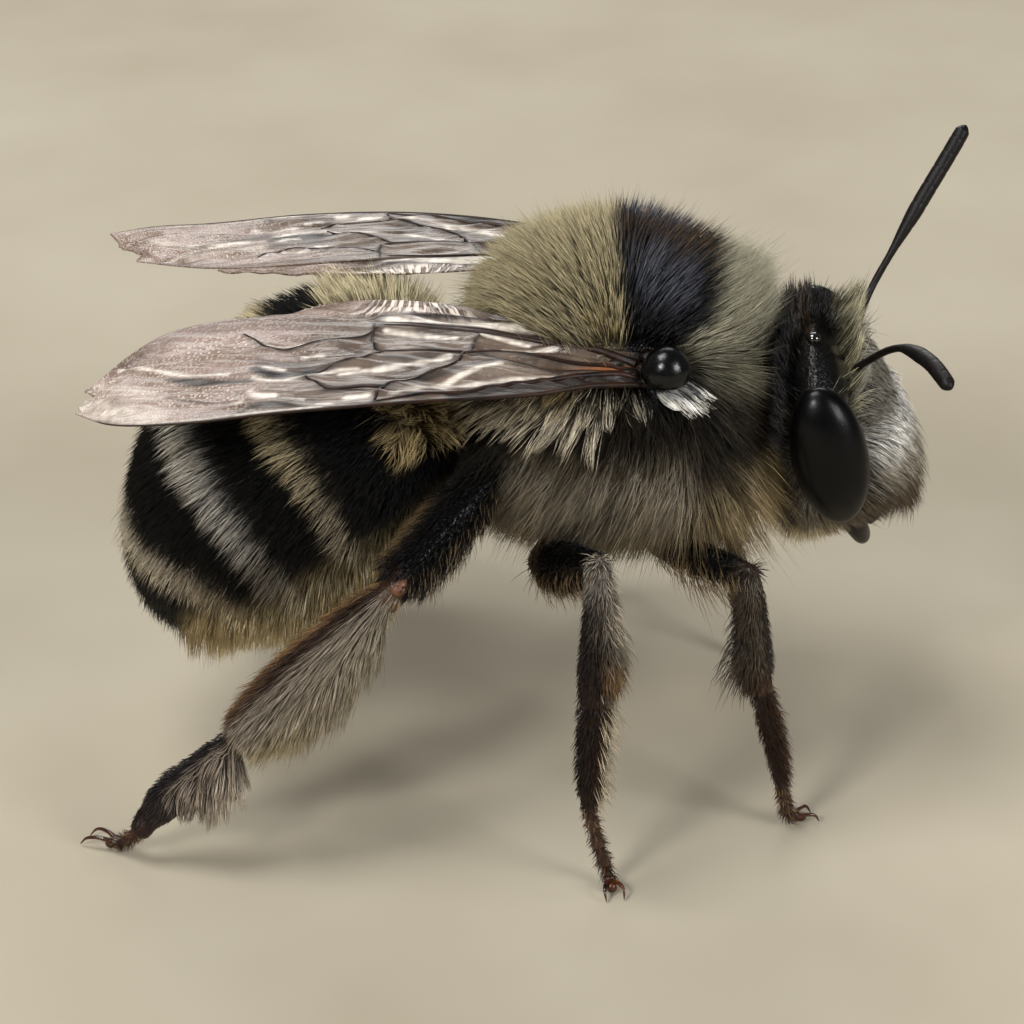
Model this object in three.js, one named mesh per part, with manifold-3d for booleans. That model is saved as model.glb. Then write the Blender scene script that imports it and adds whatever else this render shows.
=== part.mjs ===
// A female digger bee (genus Anthophora), standing still with its wings folded back.
// Millimetres, +Z up, +X towards the head, +Y the bee's left. The floor is z = 0.
// Every solid is the outline out to the tips of the coat, so the fur is inside it.
import * as THREE from 'three';
import { mergeVertices } from 'three/addons/utils/BufferGeometryUtils.js';
import Module from 'manifold-3d';

const wasm = await Module();
wasm.setup();

// ---- driving dimensions ----------------------------------------------------
const GAP = 0.05;             // clear gap kept where one solid is shaped by its neighbour
const BODY_SIDES = 24;        // facets round the trunk and head
const LIMB_SIDES = 9;         // facets round a leg
const FEELER_RADIUS = 0.25;
const WING_THICK = 0.5;
const FOOT_RADIUS = 0.27;

// Trunk sections: x, z of the middle, half width, height above, height below, lean in degrees.
const THORAX = [
  [-1.20, 7.00, 0.90, 0.90, 0.90, 0], [-1.00, 7.10, 1.90, 1.90, 1.90, 0],
  [-0.50, 7.35, 2.60, 2.70, 2.60, 0], [0.60, 7.45, 3.10, 3.15, 3.10, 0],
  [1.80, 7.50, 3.30, 3.25, 3.25, 0], [2.90, 7.35, 3.20, 3.15, 3.10, 0],
  [3.80, 7.15, 2.80, 2.85, 2.70, 0], [4.40, 7.00, 2.20, 2.35, 2.10, 0],
  [4.74, 6.95, 1.30, 1.40, 1.20, 0],
];
const ABDOMEN = [
  [-1.27, 6.80, 0.90, 0.90, 0.90, 12], [-1.50, 6.75, 2.30, 2.35, 2.00, 14],
  [-2.30, 6.50, 3.00, 2.90, 2.70, 20], [-3.30, 6.10, 3.25, 2.95, 3.05, 27],
  [-4.30, 5.50, 3.20, 2.85, 3.25, 35], [-5.15, 4.75, 2.85, 2.45, 3.15, 45],
  [-5.75, 3.90, 2.30, 1.85, 2.50, 58], [-6.08, 3.08, 1.50, 1.15, 1.62, 70],
  [-6.16, 2.46, 0.60, 0.50, 0.70, 78],
];
const ABDOMEN_JOINTS = [0, 0.30, 0.46, 0.60, 0.73, 0.86, 1];   // where one ring of the abdomen ends and the next begins
const HEAD = [
  [4.88, 7.00, 1.50, 1.85, 1.50, 0], [5.05, 7.00, 1.95, 2.50, 2.35, 0],
  [5.45, 6.95, 2.10, 2.68, 2.60, 0], [6.00, 6.85, 2.10, 2.50, 2.35, 0],
  [6.45, 6.60, 1.95, 2.45, 1.80, 0], [6.80, 6.35, 1.70, 1.80, 1.25, 0],
  [7.10, 6.15, 1.40, 1.15, 0.95, 0], [7.35, 6.00, 1.05, 0.75, 0.70, 0],
  [7.53, 5.95, 0.50, 0.35, 0.35, 0],
];
const HEAD_TURN = -3;          // degrees, a slight turn to the bee's right
const NECK = new THREE.Vector3(4.6, 0, 7.0);

const EYE = { at: [5.73, 2.15, 7.05], radii: [0.70, 0.47, 1.31], lean: 13 };
const TEGULA = { at: [2.75, 2.58, 8.98], radii: [0.50, 0.42, 0.36] };

// A limb piece: from, to, then stations along it: place 0..1, reach to the fore/upper side,
// reach to the hind/lower side, half depth. Its broad side faces the side of the animal.
const SIDE_VIEW = new THREE.Vector3(0, 0.883, -0.469);
const LEG_SECTIONS = {
  fore: {
    femur: [[0, 0.30, 0.36, 0.36], [0.3, 0.30, 0.75, 0.40], [0.6, 0.26, 0.80, 0.38], [0.85, 0.22, 0.42, 0.32], [1, 0.16, 0.22, 0.25]],
    tibia: [[0, 0.22, 0.27, 0.26], [0.15, 0.28, 0.42, 0.32], [0.4, 0.32, 0.68, 0.38], [0.65, 0.36, 0.90, 0.40], [0.82, 0.32, 0.80, 0.38], [1, 0.26, 0.42, 0.32]],
    basitarsus: [[0, 0.32, 0.32, 0.30], [0.3, 0.46, 0.31, 0.33], [0.65, 0.42, 0.25, 0.30], [1, 0.25, 0.25, 0.26]],
  },
  mid: {
    femur: [[0, 0.55, 0.68, 0.62], [0.3, 0.52, 0.72, 0.60], [0.6, 0.42, 0.60, 0.46], [0.85, 0.34, 0.42, 0.36], [1, 0.26, 0.28, 0.28]],
    tibia: [[0, 0.25, 0.28, 0.30], [0.15, 0.42, 0.34, 0.38], [0.5, 0.73, 0.33, 0.46], [0.8, 0.72, 0.38, 0.46], [0.92, 0.56, 0.38, 0.42], [1, 0.36, 0.36, 0.36]],
    basitarsus: [[0, 0.42, 0.30, 0.34], [0.12, 0.50, 0.35, 0.36], [0.35, 0.42, 0.42, 0.36], [0.6, 0.40, 0.38, 0.34], [0.85, 0.36, 0.30, 0.30], [1, 0.26, 0.28, 0.27]],
  },
  hind: {
    femur: [[0, 0.50, 0.55, 0.50], [0.3, 0.66, 0.76, 0.55], [0.55, 0.86, 0.82, 0.55], [0.78, 0.78, 0.86, 0.52], [0.92, 0.55, 0.62, 0.42], [1, 0.34, 0.36, 0.32]],
    tibia: [[0, 0.26, 0.38, 0.34], [0.07, 0.45, 0.47, 0.44], [0.2, 0.95, 0.55, 0.60], [0.4, 1.16, 0.62, 0.72], [0.65, 1.10, 0.62, 0.72], [0.82, 0.82, 0.54, 0.62], [0.93, 0.50, 0.42, 0.48], [1, 0.32, 0.30, 0.36]],
    basitarsus: [[0, 0.52, 0.26, 0.36], [0.14, 0.85, 0.35, 0.42], [0.3, 0.92, 0.45, 0.44], [0.5, 0.60, 0.55, 0.40], [0.72, 0.28, 0.50, 0.36], [0.88, 0.24, 0.42, 0.32], [1, 0.24, 0.28, 0.28]],
  },
};
// Joints of each leg, from the body outwards: hip, knee, end of tibia, end of basitarsus, toe, claw tip.
const LEG_JOINTS = {
  right: {
    fore: [[2.74, -1.60, 5.05], [4.20, -3.00, 5.16], [4.41, -3.45, 3.08], [4.86, -3.30, 1.00], [5.02, -3.16, 0.21], [5.42, -2.98, 0.21]],
    mid: [[0.62, -2.20, 4.95], [1.50, -4.60, 6.18], [1.41, -5.20, 3.94], [1.33, -5.40, 1.85], [1.70, -5.12, 0.21], [1.80, -5.58, 0.21]],
    hind: [[-0.27, -1.90, 6.62], [-2.05, -3.62, 5.20], [-4.88, -4.30, 2.54], [-6.58, -4.35, 0.72], [-6.98, -4.06, 0.21], [-7.40, -3.84, 0.21]],
  },
  left: {
    fore: [[2.74, 1.60, 5.05], [3.98, 2.80, 4.90], [4.20, 3.12, 2.80], [4.42, 3.02, 0.90], [4.52, 2.90, 0.21], [4.90, 2.76, 0.21]],
    mid: [[0.62, 2.20, 4.95], [1.50, 4.60, 6.18], [1.41, 5.20, 3.94], [1.33, 5.40, 1.85], [1.70, 5.12, 0.21], [1.80, 5.58, 0.21]],
    hind: [[-0.27, 1.90, 6.62], [-2.00, 3.90, 5.90], [-3.70, 4.50, 2.75], [-4.75, 4.42, 0.72], [-5.08, 4.25, 0.21], [-5.50, 4.10, 0.21]],
  },
};
const FEELERS = {
  right: [[5.95, -1.15, 8.05], [6.20, -1.50, 8.54], [6.52, -2.05, 9.03], [6.75, -2.55, 9.30], [7.10, -3.35, 9.42], [7.38, -4.10, 9.30]],
  left: [[6.15, 1.05, 8.00], [6.50, 1.45, 8.52], [6.92, 1.80, 9.20], [7.45, 2.25, 10.00], [7.90, 2.62, 10.65], [8.26, 2.90, 11.20]],
};
// Wing edges on the left side, root to tip: fore edge, the fold between the two wings, inner edge.
const WING_FORE = [[2.3, 2.4, 8.98], [1.4, 2.95, 8.96], [0.35, 3.50, 8.98], [-1.8, 3.98, 8.98], [-4.0, 4.15, 8.86], [-5.6, 4.18, 8.68], [-6.8, 3.98, 8.56], [-7.45, 3.45, 8.50]];
const WING_FOLD = [[2.2, 2.1, 9.00], [1.1, 2.0, 9.06], [0.2, 1.75, 9.12], [-1.2, 1.50, 9.20], [-2.6, 1.30, 9.24], [-4.2, 1.15, 9.18], [-6.0, 1.45, 8.98], [-7.38, 2.85, 8.58]];
const WING_INNER = [[0.9, 1.6, 9.02], [0.2, 1.2, 9.15], [-0.6, 0.85, 9.24], [-1.4, 0.65, 9.28], [-2.2, 0.58, 9.30], [-3.0, 0.62, 9.28], [-3.8, 0.85, 9.22], [-4.5, 1.02, 9.16]];

const COLOURS = {
  coat: 0x8d887a, darkCoat: 0x1d1a18, bands: 0x5d584e, face: 0xb9b3a2, eye: 0x14120f,
  shell: 0x1b1614, leg: 0x3a2f27, scopa: 0xa89f8c, foot: 0x4a2a1a, wing: 0x8f857b,
};

// ---- functions -------------------------------------------------------------
// A smooth row at place t (0..1) through rows of keys.
function along(keys, t) {
  const last = keys.length - 1;
  const i = Math.min(Math.floor(t * last), last - 1);
  const f = t * last - i;
  const row = (k) => keys[Math.max(0, Math.min(last, k))];
  return keys[i].map((_, c) => {
    const p1 = row(i)[c], p2 = row(i + 1)[c];
    const p0 = i === 0 ? 2 * p1 - p2 : row(i - 1)[c];
    const p3 = i === last - 1 ? 2 * p2 - p1 : row(i + 2)[c];
    return 0.5 * (2 * p1 + (p2 - p0) * f + (2 * p0 - 5 * p1 + 4 * p2 - p3) * f * f + (3 * p1 - p0 - 3 * p2 + p3) * f ** 3);
  });
}

// A closed solid through equal rings of points, with a fan over each end, faces outwards.
function loft(rings) {
  const n = rings[0].length;
  const points = rings.flat();
  const index = [];
  for (let r = 0; r + 1 < rings.length; r++) {
    for (let k = 0; k < n; k++) {
      const a = r * n + k, b = r * n + (k + 1) % n;
      index.push(a, b, b + n, a, b + n, a + n);
    }
  }
  for (const end of [0, rings.length - 1]) {
    const middle = rings[end].reduce((s, p) => s.add(p), new THREE.Vector3()).divideScalar(n);
    const m = points.push(middle) - 1;
    for (let k = 0; k < n; k++) {
      const a = end * n + k, b = end * n + (k + 1) % n;
      if (end === 0) index.push(m, b, a);
      else index.push(m, a, b);
    }
  }
  let volume = 0;
  for (let i = 0; i < index.length; i += 3) {
    const [a, b, c] = [points[index[i]], points[index[i + 1]], points[index[i + 2]]];
    volume += a.dot(b.clone().cross(c));
  }
  if (volume < 0) for (let i = 0; i < index.length; i += 3) [index[i], index[i + 1]] = [index[i + 1], index[i]];
  const g = new THREE.BufferGeometry();
  g.setAttribute('position', new THREE.Float32BufferAttribute(points.flatMap((p) => [p.x, p.y, p.z]), 3));
  g.setIndex(index);
  return g;
}

function toSolid(geometry) {
  let g = geometry.clone();
  g.deleteAttribute('normal');
  g.deleteAttribute('uv');
  g = mergeVertices(g, 1e-4);
  return new wasm.Manifold(new wasm.Mesh({
    numProp: 3,
    vertProperties: new Float32Array(g.attributes.position.array),
    triVerts: new Uint32Array(g.index.array),
  }));
}

function toGeometry(solid) {
  const mesh = solid.getMesh();
  const g = new THREE.BufferGeometry();
  g.setAttribute('position', new THREE.Float32BufferAttribute(mesh.vertProperties, 3));
  g.setIndex(new THREE.Uint32BufferAttribute(mesh.triVerts, 1));
  return g;
}

// A chain of round-ended lengths through points, as one solid.
function chain(points, radius) {
  const ball = (p) => wasm.Manifold.sphere(radius, 8).translate(p);
  return points.slice(1).map((p, i) => wasm.Manifold.hull([ball(points[i]), ball(p)])).reduce((a, b) => a.add(b));
}

// The biggest single piece of a solid that others have cut, with its tiniest edges tidied.
function cut(solid, ...others) {
  let s = solid;
  for (const o of others) s = s.subtract(o);
  s = s.simplify(0.008);
  return s.decompose().sort((a, b) => b.volume() - a.volume())[0];
}

// Rings across the trunk between two places along it, grown outwards by `grow`.
function trunkRings(keys, from, to, count, grow, place = (p) => p, square = 1) {
  const rings = [];
  for (let r = 0; r <= count; r++) {
    const [x, z, w, up, down, lean] = along(keys, from + (to - from) * r / count);
    const tilt = THREE.MathUtils.degToRad(lean);
    const ring = [];
    for (let k = 0; k < BODY_SIDES; k++) {
      const a = 2 * Math.PI * k / BODY_SIDES;
      const c = Math.sign(Math.cos(a)) * Math.abs(Math.cos(a)) ** square;
      const s = Math.sign(Math.sin(a)) * Math.abs(Math.sin(a)) ** square;
      const y = c * (w + grow), h = s * ((s > 0 ? up : down) + grow);
      ring.push(place(new THREE.Vector3(x - Math.sin(tilt) * h, y, z + Math.cos(tilt) * h)));
    }
    rings.push(ring);
  }
  return rings;
}

const turnHead = (p) => p.sub(NECK).applyAxisAngle(new THREE.Vector3(0, 0, 1), THREE.MathUtils.degToRad(HEAD_TURN)).add(NECK);

function dome({ at, radii, lean = 0 }, side, grow = 0, turn = (p) => p, fine = 1) {
  const g = new THREE.SphereGeometry(1, Math.round(15 * fine), Math.round(11 * fine));
  g.rotateX(Math.PI / 2);
  g.scale(radii[0] + grow, radii[1] + grow, radii[2] + grow);
  g.rotateY(-THREE.MathUtils.degToRad(lean));
  g.translate(at[0], side * at[1], at[2]);
  const p = g.attributes.position, v = new THREE.Vector3();
  for (let i = 0; i < p.count; i++) {
    turn(v.fromBufferAttribute(p, i));
    p.setXYZ(i, v.x, v.y, v.z);
  }
  return g;
}

// A limb piece between two joints. `start` and `end` trim its ends by that much.
function limb(from, to, stations, side, { grow = 0, start = 0, end = 0, count = 6 } = {}) {
  const a = new THREE.Vector3(...from), b = new THREE.Vector3(...to);
  const dir = b.clone().sub(a), length = dir.length();
  dir.normalize();
  const seen = SIDE_VIEW.clone();
  if (side > 0) seen.y = -seen.y;
  const face = dir.clone().cross(seen).normalize().multiplyScalar(side > 0 ? -1 : 1);
  const depth = dir.clone().cross(face).normalize();
  const rings = [];
  for (let r = 0; r <= count; r++) {
    const s = (start + (length - start - end) * r / count) / length;
    let i = 0;
    while (i < stations.length - 2 && s > stations[i + 1][0]) i++;
    const f = THREE.MathUtils.smoothstep(s, stations[i][0], stations[i + 1][0]);
    const [, fore, hind, deep] = stations[i].map((v, c) => v + (stations[i + 1][c] - v) * f);
    const middle = a.clone().addScaledVector(dir, s * length);
    const ring = [];
    for (let k = 0; k < LIMB_SIDES; k++) {
      const t = 2 * Math.PI * (k + 0.5) / LIMB_SIDES, c = Math.cos(t);
      ring.push(middle.clone().addScaledVector(face, c * ((c > 0 ? fore : hind) + grow))
        .addScaledVector(depth, Math.sin(t) * (deep + grow)));
    }
    rings.push(ring);
  }
  return loft(rings);
}

// A round rod along a smooth curve, its radius from a function of the place along it.
function rod(points, radius, count, sides) {
  const curve = new THREE.CatmullRomCurve3(points.map((p) => new THREE.Vector3(...p)));
  const frames = curve.computeFrenetFrames(count, false);
  const rings = [];
  for (let r = 0; r <= count; r++) {
    const c = curve.getPointAt(r / count), ring = [];
    for (let k = 0; k < sides; k++) {
      const t = 2 * Math.PI * (k + 0.5) / sides, q = radius(r / count);
      ring.push(c.clone().addScaledVector(frames.normals[r], Math.cos(t) * q).addScaledVector(frames.binormals[r], Math.sin(t) * q));
    }
    rings.push(ring);
  }
  return loft(rings);
}

// A wing plate between two edge curves.
function plate(outer, inner, side, { grow = 0, gap = 0, count = 16, from = 0, to = 1 } = {}) {
  const edge = (keys) => new THREE.CatmullRomCurve3(keys.map(([x, y, z]) => new THREE.Vector3(x, side * y, z)));
  const a = edge(outer), b = edge(inner);
  const across = [0, 0.35, 0.7, 1];
  const rings = [];
  for (let r = 0; r <= count; r++) {
    const t = from + (to - from) * r / count;
    const p = a.getPoint(t), q = b.getPoint(t);
    const span = q.clone().sub(p);
    const inset = gap / span.length();
    const line = across.map((f) => p.clone().addScaledVector(span, f * (1 - inset)));
    const half = WING_THICK / 2 + grow;
    const out = span.clone().setLength(grow);
    line[0].sub(out);
    line[across.length - 1].add(out);
    rings.push([...line.map((v) => v.clone().setZ(v.z + half)), ...line.reverse().map((v) => v.clone().setZ(v.z - half))]);
  }
  return loft(rings);
}

// ---- the bee ---------------------------------------------------------------
const bee = new THREE.Group();
const paint = (color, roughness = 0.9) => new THREE.MeshStandardMaterial({ color, roughness, metalness: 0 });
function put(name, solid, material) {
  const mesh = new THREE.Mesh(solid instanceof THREE.BufferGeometry ? solid : toGeometry(solid), material);
  mesh.name = name;
  bee.add(mesh);
}
const SIDES = { right: -1, left: 1 };

// Thorax with the two wing scales let into its coat.
const thoraxGrown = toSolid(loft(trunkRings(THORAX, 0, 1, 15, GAP)));
let thorax = toSolid(loft(trunkRings(THORAX, 0, 1, 15, 0)));
const tegulaeGrown = Object.values(SIDES).map((s) => toSolid(dome(TEGULA, s, GAP, undefined, 0.7)));
thorax = cut(thorax, ...tegulaeGrown);
put('thorax', thorax, paint(COLOURS.coat));
for (const [name, s] of Object.entries(SIDES)) put(`tegula_${name}`, dome(TEGULA, s, 0, undefined, 0.7), paint(COLOURS.shell, 0.25));

// Wings: a fore and a hind plate on each side, side by side, starting where they leave the coat.
const wingsGrown = [];
for (const [name, s] of Object.entries(SIDES)) {
  const fore = toSolid(plate(WING_FORE, WING_FOLD, s, { gap: 0.03 }));
  const hind = toSolid(plate(WING_FOLD, WING_INNER, s, { from: 0.12, to: 0.80, count: 12 }));
  const foreGrown = toSolid(plate(WING_FORE, WING_FOLD, s, { grow: 0.04, gap: 0.03 }));
  put(`forewing_${name}`, cut(fore, thoraxGrown, ...tegulaeGrown), paint(COLOURS.wing, 0.3));
  put(`hindwing_${name}`, cut(hind, foreGrown, thoraxGrown), paint(COLOURS.wing, 0.3));
  wingsGrown.push(foreGrown, toSolid(plate(WING_FOLD, WING_INNER, s, { grow: 0.04, from: 0.12, to: 0.80, count: 12 })));
}

// Abdomen in six rings, parted by thin cuts, with the wings pressed into its coat.
const abdomenGrown = toSolid(loft(trunkRings(ABDOMEN, 0, 1, 18, GAP)));
for (let i = 0; i < 6; i++) {
  const from = ABDOMEN_JOINTS[i] + (i ? 0.003 : 0), to = ABDOMEN_JOINTS[i + 1] - (i < 5 ? 0.003 : 0);
  const ring = toSolid(loft(trunkRings(ABDOMEN, from, to, i === 0 ? 4 : 3, 0)));
  put(`abdomen_${i + 1}`, cut(ring, thoraxGrown, ...wingsGrown), paint(i === 5 ? COLOURS.darkCoat : COLOURS.bands));
}

// Head with eyes and mouthparts let into it, and the feelers.
const mouth = {
  labrum: { curve: [[6.50, 0, 5.25], [6.60, 0, 4.95], [6.54, 0, 4.60]], radius: (t) => 0.30 - 0.04 * t, flat: 1.7 },
  mandible_right: { curve: [[5.98, -0.92, 5.45], [6.22, -0.82, 4.98], [6.34, -0.45, 4.56]], radius: (t) => 0.34 - 0.09 * t, flat: 1 },
  mandible_left: { curve: [[5.98, 0.92, 5.45], [6.22, 0.82, 4.98], [6.34, 0.45, 4.56]], radius: (t) => 0.34 - 0.09 * t, flat: 1 },
};
function mouthpart({ curve, radius, flat }, grow) {
  const g = rod(curve, (t) => radius(t) + grow, 5, 10);
  g.scale(1, flat, 1);
  const p = g.attributes.position, v = new THREE.Vector3();
  for (let i = 0; i < p.count; i++) { turnHead(v.fromBufferAttribute(p, i)); p.setXYZ(i, v.x, v.y, v.z); }
  return g;
}
let head = toSolid(loft(trunkRings(HEAD, 0, 1, 10, 0, turnHead)));
const headGrown = toSolid(loft(trunkRings(HEAD, 0, 1, 10, GAP, turnHead)));
const eyesGrown = Object.values(SIDES).map((s) => toSolid(dome(EYE, s, GAP, turnHead)));
const mouthGrown = Object.values(mouth).map((m) => toSolid(mouthpart(m, GAP)));
head = cut(head, ...eyesGrown, ...mouthGrown);
put('head', head, paint(COLOURS.face));
for (const [name, s] of Object.entries(SIDES)) put(`eye_${name}`, dome(EYE, s, 0, turnHead), paint(COLOURS.eye, 0.15));
const labrum = toSolid(mouthpart(mouth.labrum, 0));
put('labrum', labrum, paint(COLOURS.shell, 0.4));
const labrumGrown = mouthGrown[0];
const rightJaw = cut(toSolid(mouthpart(mouth.mandible_right, 0)), labrumGrown);
put('mandible_right', rightJaw, paint(COLOURS.shell, 0.35));
put('mandible_left', cut(toSolid(mouthpart(mouth.mandible_left, 0)), labrumGrown), paint(COLOURS.shell, 0.35));
for (const name of Object.keys(SIDES)) {
  const feeler = toSolid(rod(FEELERS[name], (t) => FEELER_RADIUS * (t > 0.97 ? 0.8 : 1), 10, 8));
  put(`antenna_${name}`, cut(feeler, headGrown, ...eyesGrown), paint(COLOURS.shell, 0.5));
}

// Six legs, each in four pieces, from where it leaves the coat down to a flat sole.
const trunk = [thoraxGrown, abdomenGrown];
for (const [name, s] of Object.entries(SIDES)) {
  for (const leg of ['fore', 'mid', 'hind']) {
    const [hip, knee, ankle, heel, toe, claw] = LEG_JOINTS[name][leg];
    const form = LEG_SECTIONS[leg];
    const pieces = {
      femur: [hip, knee, form.femur, { count: 5 }],
      tibia: [knee, ankle, form.tibia, { count: 6, start: 0.12 }],
      basitarsus: [ankle, heel, form.basitarsus, { count: 5, start: 0.04 }],
    };
    let above = trunk;
    for (const [piece, [a, b, sections, trim]] of Object.entries(pieces)) {
      put(`${leg}leg_${name}_${piece}`, cut(toSolid(limb(a, b, sections, s, trim)), ...above),
        paint(leg === 'hind' && piece !== 'femur' ? COLOURS.scopa : COLOURS.leg));
      above = [toSolid(limb(a, b, sections, s, { ...trim, grow: GAP, start: (trim.start ?? 0) - GAP, end: -GAP }))];
    }
    const bend = heel.map((h, i) => (i < 2 ? h * 0.6 + toe[i] * 0.4 : h * 0.55 + toe[i] * 0.45));
    const sole = claw.map((c, i) => toe[i] + (c - toe[i]) * 0.55);
    const foot = chain([heel, bend, toe, sole], FOOT_RADIUS).trimByPlane([0, 0, 1], 0);
    put(`${leg}leg_${name}_tarsus`, cut(foot, ...above), paint(COLOURS.foot, 0.6));
  }
}

export default bee;
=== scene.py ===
import math

import bpy
import numpy as np
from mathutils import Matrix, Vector
from mathutils.bvhtree import BVHTree
from mathutils.kdtree import KDTree


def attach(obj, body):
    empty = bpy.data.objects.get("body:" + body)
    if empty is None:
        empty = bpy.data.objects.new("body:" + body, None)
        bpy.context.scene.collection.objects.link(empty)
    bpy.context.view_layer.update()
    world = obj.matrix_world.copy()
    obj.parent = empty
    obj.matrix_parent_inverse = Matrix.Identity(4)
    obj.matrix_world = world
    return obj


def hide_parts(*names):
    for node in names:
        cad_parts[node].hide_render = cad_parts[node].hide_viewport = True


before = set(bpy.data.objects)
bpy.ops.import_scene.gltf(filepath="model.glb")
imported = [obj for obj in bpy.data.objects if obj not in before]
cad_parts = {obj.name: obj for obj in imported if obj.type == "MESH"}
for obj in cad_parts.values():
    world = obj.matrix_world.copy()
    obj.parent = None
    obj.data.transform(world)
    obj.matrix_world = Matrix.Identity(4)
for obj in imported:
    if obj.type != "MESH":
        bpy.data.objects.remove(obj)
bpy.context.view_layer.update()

# A digger bee. Shapes are worked out in millimetres and written to the meshes in metres.
MM = 0.001
SIDES = {"right": -1, "left": 1}

# ---- trunk: [x, z, half width, half height up, half height down, tilt] ---------
THORAX = [[-1.20, 7.00, .90, .90, .90, 0], [-1.00, 7.10, 1.90, 1.90, 1.90, 0], [-0.50, 7.35, 2.60, 2.70, 2.60, 0],
          [0.60, 7.45, 3.10, 3.15, 3.10, 0], [1.80, 7.50, 3.30, 3.25, 3.25, 0], [2.90, 7.35, 3.20, 3.15, 3.10, 0],
          [3.80, 7.15, 2.80, 2.85, 2.70, 0], [4.40, 7.00, 2.20, 2.35, 2.10, 0], [4.74, 6.95, 1.30, 1.40, 1.20, 0]]
ABDOMEN = [[-1.27, 6.80, .90, .90, .90, 12], [-1.50, 6.75, 2.30, 2.35, 2.00, 14], [-2.30, 6.50, 3.00, 2.90, 2.70, 20],
           [-3.30, 6.10, 3.25, 2.95, 3.05, 27], [-4.30, 5.50, 3.20, 2.85, 3.25, 35], [-5.15, 4.75, 2.85, 2.45, 3.15, 45],
           [-5.75, 3.90, 2.30, 1.85, 2.50, 58], [-6.08, 3.08, 1.50, 1.15, 1.62, 70], [-6.16, 2.46, .60, .50, .70, 78]]
HEAD = [[4.88, 7.00, 1.50, 1.85, 1.50, 0], [5.05, 7.00, 1.95, 2.50, 2.35, 0], [5.45, 6.95, 2.10, 2.68, 2.60, 0],
        [6.00, 6.85, 2.10, 2.50, 2.35, 0], [6.45, 6.60, 1.95, 2.45, 1.80, 0], [6.80, 6.35, 1.70, 1.80, 1.25, 0],
        [7.10, 6.15, 1.40, 1.15, .95, 0], [7.35, 6.00, 1.05, .75, .70, 0], [7.53, 5.95, .50, .35, .35, 0]]
THORAX_SKIN = [[-.75, 7.0, .35, .35, .35, 0], [-.45, 7.1, 1.3, 1.3, 1.3, 0], [0, 7.3, 1.85, 2.0, 1.9, 0],
               [.8, 7.45, 2.3, 2.45, 2.35, 0], [1.8, 7.5, 2.5, 2.55, 2.45, 0], [2.8, 7.35, 2.4, 2.4, 2.3, 0],
               [3.5, 7.15, 2.0, 2.05, 1.95, 0], [4.05, 7.0, 1.35, 1.5, 1.3, 0], [4.4, 6.95, .8, .8, .75, 0]]
ABDOMEN_SKIN = [[-1.15, 6.8, .6, .6, .6, 12], [-1.5, 6.75, 1.85, 1.9, 1.5, 14], [-2.3, 6.5, 2.55, 2.45, 2.15, 20],
                [-3.3, 6.1, 2.8, 2.5, 2.45, 27], [-4.3, 5.5, 2.75, 2.4, 2.6, 35], [-5.1, 4.78, 2.4, 2.0, 2.5, 45],
                [-5.6, 3.98, 1.9, 1.45, 1.9, 58], [-5.88, 3.25, 1.15, .85, 1.1, 70], [-5.95, 2.75, .3, .25, .3, 78]]
HEAD_SKIN = [[4.85, 7.0, .8, .8, .8, 0], [5.0, 7.0, 1.6, 1.62, 1.7, 0], [5.4, 6.95, 2.02, 2.06, 2.0, 0],
             [5.9, 6.85, 2.04, 1.60, 1.85, 0], [6.35, 6.65, 1.85, 1.4, 1.45, 0], [6.68, 6.42, 1.5, 1.15, 1.0, 0],
             [6.9, 6.27, 1.1, .75, .65, 0], [7.03, 6.2, .6, .42, .38, 0], [7.08, 6.18, .15, .12, .1, 0]]
HEAD_TURN, NECK = math.radians(-3), np.array([4.6, 0, 7.0])

EYE = {"at": [5.68, 2.13, 7.06], "radii": [.68, .48, 1.33], "lean": 13}
TEGULA = {"at": [2.66, 2.58, 8.95], "radii": [.44, .40, .39], "lean": 0}

# ---- legs: hip, knee, ankle, heel, toe, claw tip --------------------------------
LEGS = {
    "right": {
        "fore": [[2.74, -1.60, 5.05], [4.20, -3.00, 5.16], [4.41, -3.45, 3.08], [4.86, -3.30, 1.00], [5.02, -3.16, .21], [5.42, -2.98, .21]],
        "mid": [[.62, -2.20, 4.95], [1.50, -4.60, 6.18], [1.41, -5.20, 3.94], [1.33, -5.40, 1.85], [1.70, -5.12, .21], [1.80, -5.58, .21]],
        "hind": [[-.27, -1.90, 6.62], [-2.05, -3.62, 5.20], [-4.88, -4.30, 2.54], [-6.58, -4.35, .72], [-6.98, -4.06, .21], [-7.40, -3.84, .21]]},
    "left": {
        "fore": [[2.74, 1.60, 5.05], [3.98, 2.80, 4.90], [4.20, 3.12, 2.80], [4.42, 3.02, .90], [4.52, 2.90, .21], [4.90, 2.76, .21]],
        "mid": [[.62, 2.20, 4.95], [1.50, 4.60, 6.18], [1.41, 5.20, 3.94], [1.33, 5.40, 1.85], [1.70, 5.12, .21], [1.80, 5.58, .21]],
        "hind": [[-.27, 1.90, 6.62], [-2.00, 3.90, 5.90], [-3.70, 4.50, 2.75], [-4.75, 4.42, .72], [-5.08, 4.25, .21], [-5.50, 4.10, .21]]}}
COXAE = {"fore": [2.45, .9, 5.39], "mid": [1.13, 1.1, 5.35], "hind": [-.04, 1.2, 6.3]}
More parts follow.
